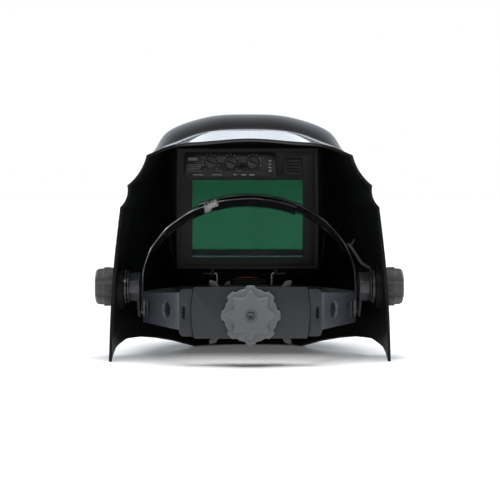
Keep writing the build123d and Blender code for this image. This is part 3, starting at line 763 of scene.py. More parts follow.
def join(name: str, parts: Sequence[bpy.types.Object]) -> bpy.types.Object:
    """Joins several pieces into one mesh, keeping their finishes.

    Args:
        name: The joined piece's name.
        parts: The pieces, which are used up.

    Returns:
        The joined piece.
    """
    work = bmesh.new()
    mats: list[bpy.types.Material] = []
    for part in parts:
        start = len(work.faces)
        work.from_mesh(part.data)
        work.faces.ensure_lookup_table()
        lookup = []
        for mat in part.data.materials:
            if mat not in mats:
                mats.append(mat)
            lookup.append(mats.index(mat))
        for face in work.faces[start:]:
            face.material_index = lookup[min(face.material_index, len(lookup) - 1)]
    mesh = bpy.data.meshes.new(name)
    work.to_mesh(mesh)
    work.free()
    for mat in mats:
        mesh.materials.append(mat)
    obj = bpy.data.objects.new(name, mesh)
    bpy.context.scene.collection.objects.link(obj)
    for part in parts:
        bpy.data.objects.remove(part)
    return obj


# ---------------------------------------------------------------- geometry nodes


class Repeater:
    """Geometry Nodes trees that repeat a small item round a ring, along a row or round an oval band."""

    def __init__(self) -> None:
        """Builds the three trees."""
        self.ring = self._ring_tree()
        self.row = self._row_tree()
        self.oval = self._oval_tree()

    @staticmethod
    def _start(name: str, inputs: Sequence[tuple[str, str, object]]) -> TreeEnds:
        """Starts a tree whose geometry input is the item to repeat."""
        tree = bpy.data.node_groups.new(name, "GeometryNodeTree")
        tree.interface.new_socket("Item", in_out="INPUT", socket_type="NodeSocketGeometry")
        for label, kind, value in inputs:
            socket = tree.interface.new_socket(label, in_out="INPUT", socket_type=kind)
            if value is not None:
                socket.default_value = value
        tree.interface.new_socket("Geometry", in_out="OUTPUT", socket_type="NodeSocketGeometry")
        return tree, add_node(tree, "NodeGroupInput"), add_node(tree, "NodeGroupOutput")

    @staticmethod
    def _finish(
        tree: bpy.types.NodeTree,
        start: bpy.types.Node,
        end: bpy.types.Node,
        points: bpy.types.NodeSocket,
        rotation: bpy.types.NodeSocket,
    ) -> None:
        """Instances the item on the points, realizes it and sets its material."""
        spread = add_node(tree, "GeometryNodeInstanceOnPoints")
        solid = add_node(tree, "GeometryNodeRealizeInstances")
        finish = add_node(tree, "GeometryNodeSetMaterial")
        link = tree.links.new
        link(points, spread.inputs["Points"])
        link(start.outputs["Item"], spread.inputs["Instance"])
        link(rotation, spread.inputs["Rotation"])
        link(spread.outputs["Instances"], solid.inputs["Geometry"])
        link(solid.outputs["Geometry"], finish.inputs["Geometry"])
        link(start.outputs["Finish"], finish.inputs["Material"])
        link(finish.outputs["Geometry"], end.inputs["Geometry"])

    def _ring_tree(self) -> bpy.types.NodeTree:
        """Items on a ring: each is turned about the axis and moved out by the offset."""
        tree, start, end = self._start(
            "repeat_on_ring",
            [
                ("Count", "NodeSocketInt", 8),
                ("Centre", "NodeSocketVector", (0, 0, 0)),
                ("Offset", "NodeSocketVector", (0, 0, 0.01)),
                ("Axis", "NodeSocketVector", (0, 1, 0)),
                ("First Angle", "NodeSocketFloat", 0.0),
                ("Step Angle", "NodeSocketFloat", 0.5),
                ("Finish", "NodeSocketMaterial", None),
            ],
        )
        link = tree.links.new
        points = add_node(tree, "GeometryNodePoints")
        index = add_node(tree, "GeometryNodeInputIndex")
        turn = add_node(tree, "ShaderNodeMath", operation="MULTIPLY_ADD")
        rotation = add_node(tree, "FunctionNodeAxisAngleToRotation")
        spin = add_node(tree, "FunctionNodeRotateVector")
        shift = add_node(tree, "ShaderNodeVectorMath", operation="ADD")
        place = add_node(tree, "GeometryNodeSetPosition")
        link(start.outputs["Count"], points.inputs["Count"])
        link(index.outputs["Index"], turn.inputs[0])
        link(start.outputs["Step Angle"], turn.inputs[1])
        link(start.outputs["First Angle"], turn.inputs[2])
        link(start.outputs["Axis"], rotation.inputs["Axis"])
        link(turn.outputs[0], rotation.inputs["Angle"])
        link(start.outputs["Offset"], spin.inputs["Vector"])
        link(rotation.outputs["Rotation"], spin.inputs["Rotation"])
        link(spin.outputs["Vector"], shift.inputs[0])
        link(start.outputs["Centre"], shift.inputs[1])
        link(points.outputs["Points"], place.inputs["Geometry"])
        link(shift.outputs["Vector"], place.inputs["Position"])
        self._finish(tree, start, end, place.outputs["Geometry"], rotation.outputs["Rotation"])
        return tree

    def _row_tree(self) -> bpy.types.NodeTree:
        """Items in a straight row from a first place by equal steps."""
        tree, start, end = self._start(
            "repeat_in_row",
            [
                ("Count", "NodeSocketInt", 4),
                ("First", "NodeSocketVector", (0, 0, 0)),
                ("Step", "NodeSocketVector", (0, 0, 0.01)),
                ("Turn", "NodeSocketRotation", None),
                ("Finish", "NodeSocketMaterial", None),
            ],
        )
        link = tree.links.new
        points = add_node(tree, "GeometryNodePoints")
        index = add_node(tree, "GeometryNodeInputIndex")
        reach = add_node(tree, "ShaderNodeVectorMath", operation="SCALE")
        shift = add_node(tree, "ShaderNodeVectorMath", operation="ADD")
        place = add_node(tree, "GeometryNodeSetPosition")
        link(start.outputs["Count"], points.inputs["Count"])
        link(start.outputs["Step"], reach.inputs[0])
        link(index.outputs["Index"], reach.inputs["Scale"])
        link(reach.outputs["Vector"], shift.inputs[0])
        link(start.outputs["First"], shift.inputs[1])
        link(points.outputs["Points"], place.inputs["Geometry"])
        link(shift.outputs["Vector"], place.inputs["Position"])
        self._finish(tree, start, end, place.outputs["Geometry"], start.outputs["Turn"])
        return tree

    def _oval_tree(self) -> bpy.types.NodeTree:
        """Items round part of an upright oval band, each facing along the band's normal."""
        tree, start, end = self._start(
            "repeat_on_oval",
            [
                ("Count", "NodeSocketInt", 20),
                ("Centre", "NodeSocketVector", (0, 0, 0)),
                ("Half Width", "NodeSocketFloat", 0.08),
                ("Half Depth", "NodeSocketFloat", 0.09),
                ("First Angle", "NodeSocketFloat", 0.0),
                ("Step Angle", "NodeSocketFloat", 0.1),
                ("Finish", "NodeSocketMaterial", None),
            ],
        )
        link = tree.links.new

        def math_node(operation: str, *sources: object) -> bpy.types.NodeSocket:
            """Adds one math node fed by the sources and gives its output."""
            node = add_node(tree, "ShaderNodeMath", operation=operation)
            for i, source in enumerate(sources):
                link(source, node.inputs[i])
            return node.outputs[0]

        points = add_node(tree, "GeometryNodePoints")
        index = add_node(tree, "GeometryNodeInputIndex")
        angle = math_node(
            "MULTIPLY_ADD", index.outputs["Index"], start.outputs["Step Angle"], start.outputs["First Angle"]
        )
        cosine, sine = math_node("COSINE", angle), math_node("SINE", angle)
        spot = add_node(tree, "ShaderNodeCombineXYZ")
        link(math_node("MULTIPLY", cosine, start.outputs["Half Width"]), spot.inputs["X"])
        link(math_node("MULTIPLY", sine, start.outputs["Half Depth"]), spot.inputs["Y"])
        across = math_node("MULTIPLY", cosine, start.outputs["Half Depth"])
        forward = math_node("MULTIPLY", sine, start.outputs["Half Width"])
        heading = math_node("ARCTAN2", forward, across)
        euler = add_node(tree, "ShaderNodeCombineXYZ")
        link(heading, euler.inputs["Z"])
        rotation = add_node(tree, "FunctionNodeEulerToRotation")
        link(euler.outputs["Vector"], rotation.inputs["Euler"])
        shift = add_node(tree, "ShaderNodeVectorMath", operation="ADD")
        place = add_node(tree, "GeometryNodeSetPosition")
        link(start.outputs["Count"], points.inputs["Count"])
        link(spot.outputs["Vector"], shift.inputs[0])
        link(start.outputs["Centre"], shift.inputs[1])
        link(points.outputs["Points"], place.inputs["Geometry"])
        link(shift.outputs["Vector"], place.inputs["Position"])
        self._finish(tree, start, end, place.outputs["Geometry"], rotation.outputs["Rotation"])
        return tree

    def spread(self, item: bpy.types.Object, tree: bpy.types.NodeTree, **values: object) -> bpy.types.Object:
        """Runs a tree on an item and keeps the result as plain mesh.

        Args:
            item: The item to repeat, modelled at the origin.
            tree: One of the trees.
            **values: Input values; an underscore stands for a blank in the input's name.

        Returns:
            The same object, now holding all the repeats.
        """
        mod = item.modifiers.new("repeat", "NODES")
        mod.node_group = tree
        wanted = {name.replace("_", " "): value for name, value in values.items()}
        for socket in tree.interface.items_tree:
            if socket.in_out == "INPUT" and socket.name in wanted:
                mod[socket.identifier] = wanted[socket.name]
        settle(item)
        return item


REPEATER = Repeater()


def block(name: str, size: Point, mat: bpy.types.Material, round_off: float = 0.0) -> bpy.types.Object:
    """Small block centred at the origin, for repeating.

    Args:
        name: Its name.
        size: Its three sides.
        mat: Its finish.
        round_off: Bevel width, or 0.

    Returns:
        The new object.
    """
    half = [s / 2 for s in size]
    verts = [(x * half[0], y * half[1], z * half[2]) for x in (-1, 1) for y in (-1, 1) for z in (-1, 1)]
    faces = [(0, 1, 3, 2), (4, 6, 7, 5), (0, 4, 5, 1), (2, 3, 7, 6), (0, 2, 6, 4), (1, 5, 7, 3)]
    obj = piece_from(name, verts, faces, mat)
    mend(obj)
    if round_off:
        bevel(obj, round_off, 2)
    return obj


def disc(
    name: str, axis: Axis, radius: float, depth: float, mat: bpy.types.Material, count: int = 12
) -> bpy.types.Object:
    """Small disc centred at the origin, for repeating.

    Args:
        name: Its name.
        axis: The axis it faces along.
        radius: Its radius.
        depth: Its thickness.
        mat: Its finish.
        count: Points round it.

    Returns:
        The new object.
    """
    rings = [(-depth / 2, lambda _a: radius), (depth / 2, lambda _a: radius)]
    return turned(name, axis, Vector((0, 0, 0)), rings, count, mat)


# ---------------------------------------------------------------- shell


@dataclass
class Shell:
    """The moulded shell, drawn as sections that change along its depth. Sizes in millimetres."""

    finishes: Finishes
    rear_y: float = 80.0
    front_y: float = -127.5
    wall: float = 2.5
    chin_y: float = -90.0
    window: tuple[float, float, float] = (60.0, 76.0, 176.0)
    rim: tuple = ((0, 77.5), (20, 77.5), (84, 77), (129, 74), (147, 71), (172, 62), (187, 52), (215, 44))
    low_edge: tuple = (
        (-70, 0),
        (-58, 3.2),
        (-45, 7),
        (-22, 11.6),
        (0, 14.5),
        (30, 15.2),
        (57, 10.5),
        (68, 5.5),
        (77.5, 0),
    )
    runs: tuple = (10, 12, 14, 12, 12, 30)
    steps: int = 84
    pad_radius: float = 19.0

    def keys(self, y: np.ndarray) -> list[tuple[np.ndarray, np.ndarray]]:
        """Corner points of the half section at each depth.

        Args:
            y: Depths in millimetres.

        Returns:
            Half width and height of each corner, from the lower edge to the crown.
        """
        t = np.clip((self.rear_y - y) / (self.rear_y - self.front_y), 0, 1)
        sweep_in = 0.5 * (1 + np.cos(np.pi * t))
        taper, ridge = 1 - t**2.5, 1 - t**3
        rise = 1 - (1 - np.clip((t - 0.33) / 0.2, 0, 1)) ** 2
        fall = 1 - np.clip((t - 0.65) / 0.35, 0, 1) ** 2
        dome = rise * fall
        chin = np.clip((self.chin_y - y) / 37.5, 0, 1)
        shelf = np.clip((t - 0.15) / 0.18, 0, 1) * fall
        crown = 185.6 + 9.5 * t + 7.5 * shelf + 13 * dome
        flat = np.zeros_like(t)
        return [
            (30 + 88 * sweep_in, -6 + 74 * chin),
            (70 + 46.5 * sweep_in, 40 + 30 * chin**2),
            (72 + 41.3 * taper, 84 + flat),
            (76 + 32.3 * taper, 129 + flat),
            (76 + 26.5 * taper, 147 + 3 * t),
            (75 + 11.7 * ridge, 172 + 8 * t),
            (65 - 2 * t + 7 * dome, 180 + 12 * t + 10 * dome),
            (38 - 3 * t, crown - 2.6 + 0.4 * t),
            (flat, crown),
        ]

    def section(self, y: np.ndarray, u: float) -> tuple[np.ndarray, np.ndarray]:
        """One rail of the half section.

        Args:
            y: Depths in millimetres.
            u: Place along the section, in segments from the lower edge.

        Returns:
            Half width and height at each depth.
        """
        keys = self.keys(y)
        t = np.clip((self.rear_y - y) / (self.rear_y - self.front_y), 0, 1)
        low = np.interp(y, [p[0] for p in self.low_edge], [p[1] for p in self.low_edge])
        low = np.maximum(low, keys[0][1])
        share = (low - keys[0][1]) / (keys[1][1] - keys[0][1])
        start = (keys[0][0] + (keys[1][0] - keys[0][0]) * share, low)
        if u < 3:
            points = [start, keys[1], keys[2], keys[3]]
            return self.curve(points, u)
        if u < 5:
            k = int(u)
            w = u - k
            a, b = keys[k], keys[k + 1]
            x, z = a[0] + (b[0] - a[0]) * w, a[1] + (b[1] - a[1]) * w
            length = np.hypot(b[0] - a[0], b[1] - a[1])
            depth = 2.6 * np.clip(1.1 - 1.3 * t, 0, 1) * 4 * w * (1 - w)
            return x - (b[1] - a[1]) / length * depth, z + (b[0] - a[0]) / length * depth
        points = [keys[5], keys[6], keys[7], keys[8]]
        return self.curve(points, u - 5, mirrored_end=True)

    @staticmethod
    def curve(points: list, u: float, mirrored_end: bool = False) -> tuple[np.ndarray, np.ndarray]:
        """Smooth curve through four points.

        Args:
            points: The points, each as arrays of half width and height.
            u: Place along them, 0 to 3.
            mirrored_end: Whether the curve goes on into its mirror image.

        Returns:
            Half width and height.
        """
        k = min(int(u), 2)
        w = u - k

        def at(i: int) -> tuple[np.ndarray, np.ndarray]:
            """Point i, carried on past either end."""
            if i < 0:
                return 2 * points[0][0] - points[1][0], 2 * points[0][1] - points[1][1]
            if i > 3:
                if mirrored_end:
                    return -points[2][0], points[2][1]
                return 2 * points[3][0] - points[2][0], 2 * points[3][1] - points[2][1]
            return points[i]

        weights = (
            0.5 * (-w + 2 * w**2 - w**3),
            0.5 * (2 - 5 * w**2 + 3 * w**3),
            0.5 * (w + 4 * w**2 - 3 * w**3),
            0.5 * (-(w**2) + w**3),
        )
        near = [at(k - 1), at(k), at(k + 1), at(k + 2)]
        return sum(c * p[0] for c, p in zip(weights, near)), sum(c * p[1] for c, p in zip(weights, near))

    def rails(self) -> list[float]:
        """Places along the half section, closer together where it turns."""
        spans = [(0, 1), (1, 2), (2, 3), (3, 4), (4, 5), (5, 8)]
        places = []
        for (a, b), count in zip(spans, self.runs):
            places += [a + (b - a) * i / count for i in range(count)]
        return places + [8.0]

    def build(self) -> bpy.types.Object:
        """Builds the shell as an outer skin, gives it its wall and rounds its edges.

        Returns:
            The shell piece.
        """
        places = self.rails()
        rim_z = [p[0] for p in self.rim]
        rim_y = [p[1] for p in self.rim]
        share = np.linspace(0, 1, self.steps + 1)
        depth = share - 0.08 * np.sin(2 * np.pi * share) / 2
        columns = []
        edge_round = 5.0
        for u in places:
            rear = np.array([76.0])
            for _ in range(3):
                _, z = self.section(rear, min(u, 7.999))
                rear = np.interp(z, rim_z, rim_y)
            y = rear + (self.front_y - rear) * depth
            x, z = self.section(y, min(u, 7.9999))
            near_front = np.clip((y - self.front_y) / edge_round, 0, 1)
            pull = edge_round * (1 - np.sqrt(1 - (1 - near_front) ** 2)) * 0.8
            centre_z = 126.0
            out = np.hypot(x, z - centre_z)
            x = x * (1 - pull / np.maximum(out, 1))
            z = z - (z - centre_z) * pull / np.maximum(out, 1)
            columns.append(np.stack([x, y, z], 1))
        half = np.array(columns)
        half[-1, :, 0] = 0
        grid = np.concatenate([half, half[-2::-1] * np.array([-1, 1, 1])], 0)
        across, along = grid.shape[:2]
        verts = [tuple(p * MM) for p in grid.reshape(-1, 3)]
        faces = []
        for i in range(across - 1):
            for j in range(along - 1):
                a = i * along + j
                faces.append((a, a + 1, a + along + 1, a + along))
        # chin wall between the two lower edges, from where they leave the floor to the window wall
        left, right = grid[0], grid[-1]
        first = next(j for j in range(along) if left[j, 1] < self.chin_y - 3.4) - 2
        chin_columns = 16
        index: dict[tuple[int, int], int] = {}
        for j in range(first, along):
            for i in range(1, chin_columns):
                w = i / chin_columns
                point = left[j] * (1 - w) + right[j] * w
                bulge = 3.0 * math.sin(math.pi * w) * min(1.0, (along - 1 - j) / 12)
                index[(i, j)] = len(verts)
                verts.append(tuple((point + np.array([0, -bulge * 0.6, 0])) * MM))
            index[(0, j)] = j
            index[(chin_columns, j)] = (across - 1) * along + j
        for j in range(first, along - 1):
            for i in range(chin_columns):
                faces.append((index[(i, j)], index[(i + 1, j)], index[(i + 1, j + 1)], index[(i, j + 1)]))
        # window wall: from the section's own outline in to the window
        loop = [i * along + along - 1 for i in range(across)]
        loop += [index[(i, along - 1)] for i in range(chin_columns - 1, 0, -1)]
        half_w, low, high = self.window
        centre = np.array([0, (low + high) / 2])
        previous = loop
        corner = 8.0
        for w, lift in ((0.25, 0.0), (0.55, 0.0), (0.86, 0.0), (0.93, 0.5), (1.0, 1.6)):
            ring = []
            for source in loop:
                outer = np.array([verts[source][0], verts[source][2]]) / MM
                target = self.on_window(outer - centre, half_w, (high - low) / 2, corner) + centre
                spot = outer + (target - outer) * w
                ring.append(len(verts))
                verts.append((spot[0] * MM, (self.front_y + lift) * MM, spot[1] * MM))
            for i in range(len(loop)):
                j = (i + 1) % len(loop)
                faces.append((previous[i], previous[j], ring[j], ring[i]))
            previous = ring
        shell = piece_from("shell_moulding", verts, faces, self.finishes.shell)
        mend(shell, 0.05 * MM)
        self.face_out(shell)
        wall = shell.modifiers.new("wall", "SOLIDIFY")
        wall.thickness = self.wall * MM
        wall.offset = -1
        wall.use_even_offset = True
        wall.thickness_clamp = 0.0
        settle(shell)
        bevel(shell, 0.7 * MM, 3, 50)
        shell = join("shell_moulding", [shell, *self.pads()])
        smooth(shell, 32)
        return stand_for(shell, "shell", "shell_plastic", "shell")

    @staticmethod
    def face_out(shell: bpy.types.Object) -> None:
        """Turns the open skin so that its crown faces up, with all faces agreeing."""
        work = bmesh.new()
        work.from_mesh(shell.data)
        bmesh.ops.recalc_face_normals(work, faces=work.faces)
        top = max(work.faces, key=lambda f: f.calc_center_median().z)
        if top.normal.z < 0:
            bmesh.ops.reverse_faces(work, faces=work.faces)
        work.to_mesh(shell.data)
        work.free()

    @staticmethod
    def on_window(direction: np.ndarray, half_w: float, half_h: float, corner: float) -> np.ndarray:
        """Point of a rounded rectangle in a direction from its middle.

        Args:
            direction: The direction.
            half_w: Half its width.
            half_h: Half its height.
            corner: Its corner radius.

        Returns:
            The point.
        """
        unit = direction / max(1e-6, float(np.linalg.norm(direction)))
        reach = min(half_w / max(abs(unit[0]), 1e-6), half_h / max(abs(unit[1]), 1e-6))
        point = unit * reach
        inner = np.array([half_w - corner, half_h - corner])
        beyond = np.abs(point) - inner
        if beyond.min() > 0:
            bow = beyond / max(1e-6, float(np.linalg.norm(beyond))) * corner
            point = np.sign(point) * (inner + bow)
        return point

    def pads(self) -> list[bpy.types.Object]:
        """Round pads of the two pivots, proud of the shell outside and flush inside."""
        made = []
        for side, sign in (("left", 1), ("right", -1)):
            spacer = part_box(f"spacer_{side}")
            centre = (spacer[0] + spacer[1]) / 2
            centre.x = 0
            inner, outer = 107.5 * MM, 114.5 * MM
            radius = self.pad_radius * MM
            rings = [
                (sign * inner, lambda _a: radius),
                (sign * (outer - 1.2 * MM), lambda _a: radius),
                (sign * outer, lambda _a: radius - 1.2 * MM),
            ]
            made.append(turned(f"pad_{side}", Axis.X, centre, rings, 64, self.finishes.shell))
        return made


# ---------------------------------------------------------------- window and cartridge


@dataclass
class LensWindow:
    """Cover lens, cartridge holder, wire bail and the small inner label."""

    finishes: Finishes
    label_t: float = 0.15 * MM
    label_lean: float = 26.87

    def build(self) -> None:
        """Builds and dresses the pieces."""
        dress("cover_lens", self.finishes.clear)
        holder = rounded_copy("cartridge_holder", self.finishes.holder, 0.5 * MM)
        stand_for(holder, "shell", "holder_plastic", "cartridge_holder")
        self.bail()
        self.label()

    def bail(self) -> None:
        """The bright wire below the cartridge, with a smooth round section."""
        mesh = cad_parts["wire_bail"].data.copy()
        mesh.materials.clear()
        mesh.materials.append(self.finishes.wire)
        mesh.polygons.foreach_set("material_index", [0] * len(mesh.polygons))
        wire = bpy.data.objects.new("bail_wire", mesh)
        bpy.context.scene.collection.objects.link(wire)
        mend(wire, outward=False)
        smooth(wire, 40)
        stand_for(wire, "bail", "bright_steel", "wire_bail")

    def label(self) -> None:
        """Plain label without lettering: pale line along the top, brown heading bar, dark body, pale patch,
        thin lines.
        """
        dress("inner_label", self.finishes.dark)
        low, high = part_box("inner_label")
        middle = (low + high) / 2
        lean = math.radians(self.label_lean)
        up = Vector((0, -math.sin(lean), math.cos(lean)))
        out = Vector((0, math.cos(lean), math.sin(lean)))
        turn = Matrix((Vector((1, 0, 0)), up, out)).transposed().to_4x4()
        f = self.finishes
        bars = (
            (0.0, 10.3, 45.0, 0.7, f.white),
            (0.0, 7.6, 47.0, 3.6, f.rust),
            (18.5, 0.4, 10.5, 5.0, f.white),
            (-5.5, 4.2, 32.0, 0.35, f.faint_ink),
            (-5.5, 2.4, 32.0, 0.35, f.faint_ink),
            (-5.5, 0.6, 32.0, 0.35, f.faint_ink),
            (-5.5, -1.2, 32.0, 0.35, f.faint_ink),
            (0.0, -4.6, 44.0, 0.35, f.faint_ink),
            (0.0, -6.6, 44.0, 0.35, f.faint_ink),
        )
        parts = []
        for shift, height, wide, tall, mat in bars:
            bar = block("label_bar", (wide * MM, tall * MM, self.label_t), mat)
            place = middle + out * (0.36 * MM) + up * (height * MM) + Vector((shift * MM, 0, 0))
            bar.data.transform(Matrix.Translation(place) @ turn)
            parts.append(bar)
        stand_for(join("label_bars", parts), "shell", "label_film")


@dataclass
class Cartridge:
    """The auto-darkening cartridge with its control panel."""

    finishes: Finishes
    ticks: int = 11
    pointer_turn: float = 65.0
    tick_sweep: float = math.radians(270)

    def build(self) -> None:
        """Builds and dresses the pieces."""
        f = self.finishes
        rear = rounded_copy("cartridge_rear_case", f.case, 0.6 * MM)
        stand_for(rear, "shell", "case_plastic", "cartridge_rear_case")
        stand_for(rounded_copy("control_plate", f.panel, 0.5 * MM), "shell", "panel_film", "control_plate")
        dress("cartridge_front_case", f.case)
        dress("filter_glass", f.glass)
        dress("inner_cover_lens", f.clear)
        dress("coin_cells", f.cell)
        dress("circuit_board", f.board)
        dress("solar_cell", f.solar)
        dress("arc_sensors", f.solar)
        cover = rounded_copy("battery_cover", f.cover, 0.25 * MM)
        stand_for(cover, "battery_cover", "dial_plastic", "battery_cover")
        for name in ("shade", "sensitivity", "delay"):
            self.dial(name)
        self.scales()
        self.edge_line()

    def edge_line(self) -> None:
        """The lower edge of the inner cover lens, drawn as a pale teal strip: a painted highlight where the
        edge catches light.
        """
        low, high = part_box("inner_cover_lens")
        # painted highlight: a thin pale strip on the lens face in place of light caught on its edge
        line = block("glass_edge", (103.0 * MM, 0.3 * MM, 0.9 * MM), self.finishes.painted_edge_highlight)
        line.data.transform(Matrix.Translation(Vector((0, high.y + 0.2 * MM, low.z + 2.6 * MM))))
        stand_for(line, "shell", "clear_lens")

    def dial(self, name: str) -> None:
        """One dial: a ribbed grey head with a slot across its face drawn as a black block, painted shade of
        the recess, on its thin shaft.

        Args:
            name: The dial's name.
        """
        node = f"{name}_dial"
        low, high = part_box(node)
        centre = Vector(((low.x + high.x) / 2, 0, (low.z + high.z) / 2))
        radius = (high.z - low.z) / 2
        front, back = high.y, low.y

        def knurl(base: float) -> Callable[[float], float]:
            """Radius with fine grip flutes."""
            return lambda a: base * (1 - 0.05 * (0.5 + 0.5 * math.cos(18 * a)))

        rings = [
            (back, lambda _a: 1.5 * MM),
            (front - 4.2 * MM, lambda _a: 1.5 * MM),
            (front - 4.2 * MM, knurl(radius)),
            (front - 1.4 * MM, knurl(radius * 0.9)),
            (front - 0.9 * MM, knurl(radius * 0.84)),
            (front - 0.9 * MM, lambda _a: radius * 0.70),
            (front - 0.3 * MM, lambda _a: radius * 0.66),
            (front - 0.1 * MM, lambda _a: radius * 0.58),
        ]
        head = turned(f"{name}_head", Axis.Y, centre, rings, 108, self.finishes.dial)
        # painted shade: the slot is a black block sunk into the face, in place of a shaded recess
        slot = block("pointer_slot", (1.3 * MM, 0.5 * MM, radius * 1.3), self.finishes.painted_hole_shade, 0.1 * MM)
        turn = Matrix.Rotation(math.radians(self.pointer_turn), 4, "Y")
        slot.data.transform(Matrix.Translation(centre + Vector((0, front - 0.3 * MM, 0))) @ turn)
        dial = join(f"{name}_dial_turned", [head, slot])
        smooth(dial, 40)
        stand_for(dial, node, "dial_plastic", node)

    def scales(self) -> None:
        """Tick marks round each dial and a short scale between dials and battery cover."""
        _, plate_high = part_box("control_plate")
        face = plate_high.y
        parts = []
        for name in ("shade", "sensitivity", "delay"):
            low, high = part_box(f"{name}_dial")
            centre = ((low.x + high.x) / 2, face + 0.04 * MM, (low.z + high.z) / 2)
            radius = (high.z - low.z) / 2 + 1.3 * MM
            tick = block("tick", (0.35 * MM, 0.08 * MM, 1.0 * MM), self.finishes.ink)
            parts.append(
                REPEATER.spread(
                    tick,
                    REPEATER.ring,
                    Count=self.ticks,
                    Centre=centre,
                    Offset=(0.0, 0.0, radius),
                    Axis=(0.0, 1.0, 0.0),
                    First_Angle=-self.tick_sweep / 2,
                    Step_Angle=self.tick_sweep / (self.ticks - 1),
                    Finish=self.finishes.ink,
                )
            )
        rows = (
            (4, (-21.0, 161.5), (0.0, 3.1), (2.2, 1.3), self.finishes.ink),
            (2, (46.0, 157.8), (-17.5, 0.0), (9.5, 0.7), self.finishes.ink),
            (3, (11.0, 157.8), (-7.5, 0.0), (4.6, 0.7), self.finishes.ink),
            (4, (50.0, 161.5), (0.0, 1.9), (13.0, 0.55), self.finishes.faint_ink),
            (1, (51.0, 172.5), (0.0, 1.0), (9.0, 3.0), self.finishes.faint_ink),
            (2, (27.0, 161.6), (-18.5, 0.0), (6.0, 0.6), self.finishes.faint_ink),
        )
        for count, first, step, size, mat in rows:
            bar = block("legend", (size[0] * MM, 0.08 * MM, size[1] * MM), mat)
            parts.append(
                REPEATER.spread(
                    bar,
                    REPEATER.row,
                    Count=count,
                    First=(first[0] * MM, face + 0.04 * MM, first[1] * MM),
                    Step=(step[0] * MM, 0.0, step[1] * MM),
                    Finish=mat,
                )
            )
        marks = join("panel_marks", parts)
        stand_for(marks, "shell", "panel_film")


# ---------------------------------------------------------------- side pivots


@dataclass
class SidePivots:
    """Tension knobs, spacers, bolts and the tilt-limit lever."""

    finishes: Finishes
    lugs: int = 8

    def build(self) -> None:
        """Builds both sides and the lever."""
        for side, sign in (("left", 1), ("right", -1)):
            self.knob(side, sign)
            self.spacer(side, sign)
            dress(f"pivot_bolt_{side}", self.finishes.zinc)
            boss = rounded_copy(f"side_boss_{side}", self.finishes.spacer, 0.5 * MM)
            stand_for(boss, "headgear", "spacer_plastic", f"side_boss_{side}")
        washer = rounded_copy("stop_washer", self.finishes.spacer, 0.2 * MM)
        stand_for(washer, "headgear", "spacer_plastic", "stop_washer")
        lever = rounded_copy("tilt_limit_lever", self.finishes.lever, 0.4 * MM)
        stand_for(lever, "tilt_lever", "spacer_plastic", "tilt_limit_lever")

    def knob(self, side: str, sign: int) -> None:
        """One tension knob: a domed cup with stepped grip lugs.

        Args:
            side: Left or right.
            sign: +1 on the left, -1 on the right.
        """
        node = f"tension_knob_{side}"
        low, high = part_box(node)
        centre = Vector((0, (low.y + high.y) / 2, (low.z + high.z) / 2))
        radius = (high.z - low.z) / 2
        near = min(abs(low.x), abs(high.x))
        far = max(abs(low.x), abs(high.x))
        depth = far - near

        def lobed(base: float, amount: float) -> Callable[[float], float]:
            """Radius with flat-topped lugs."""

            def at(angle: float) -> float:
                """Radius at one angle."""
                wave = 0.5 + 0.5 * math.cos(self.lugs * angle)
                return base * (1 - amount * (1 - min(1.0, wave * 1.9)))

            return at

        profile = [
            (0.0, 0.80, 0.0),
            (0.0, 0.93, 0.06),
            (0.04, 0.96, 0.10),
            (0.30, 1.0, 0.13),
            (0.52, 1.0, 0.13),
            (0.56, 0.97, 0.12),
            (0.57, 0.93, 0.10),
            (0.80, 0.92, 0.10),
            (0.91, 0.87, 0.08),
            (0.97, 0.79, 0.05),
            (1.0, 0.68, 0.02),
            (1.0, 0.60, 0.0),
            (0.97, 0.56, 0.0),
            (0.97, 0.2, 0.0),
        ]
        rings = [(sign * (near + depth * d), lobed(radius * r, a)) for d, r, a in profile]
        knob = turned(f"{node}_turned", Axis.X, centre, rings, 160, self.finishes.knob)
        smooth(knob, 28)
        stand_for(knob, node, "knob_plastic", node)

    def spacer(self, side: str, sign: int) -> None:
        """One ribbed spacer inside the shell.

        Args:
            side: Left or right.
            sign: +1 on the left, -1 on the right.
        """
        node = f"spacer_{side}"
        low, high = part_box(node)
        centre = Vector((0, (low.y + high.y) / 2, (low.z + high.z) / 2))
        radius = (high.z - low.z) / 2 - 0.8 * MM
        near = min(abs(low.x), abs(high.x))
        far = max(abs(low.x), abs(high.x))
        profile = [
            (near, radius - 1.2 * MM),
            (near + 0.6 * MM, radius),
            (far - 0.4 * MM, radius),
            (far, radius - 0.4 * MM),
        ]
        rings = [(sign * x, (lambda r: lambda _a: r)(r)) for x, r in profile]
        body = turned(f"{node}_body", Axis.X, centre, rings, 96, self.finishes.spacer)
        rib = block("rib", (far - near - 0.6 * MM, 1.5 * MM, 1.3 * MM), self.finishes.spacer, 0.25 * MM)
        ribs = REPEATER.spread(
            rib,
            REPEATER.ring,
            Count=24,
            Centre=(sign * (near + far) / 2, centre.y, centre.z),
            Offset=(0.0, 0.0, radius),
            Axis=(1.0, 0.0, 0.0),
            First_Angle=0.0,
            Step_Angle=2 * math.pi / 24,
            Finish=self.finishes.spacer,
        )
        spacer = join(f"{node}_ribbed", [body, ribs])
        smooth(spacer, 40)
        stand_for(spacer, "shell", "spacer_plastic", node)


# ---------------------------------------------------------------- headgear


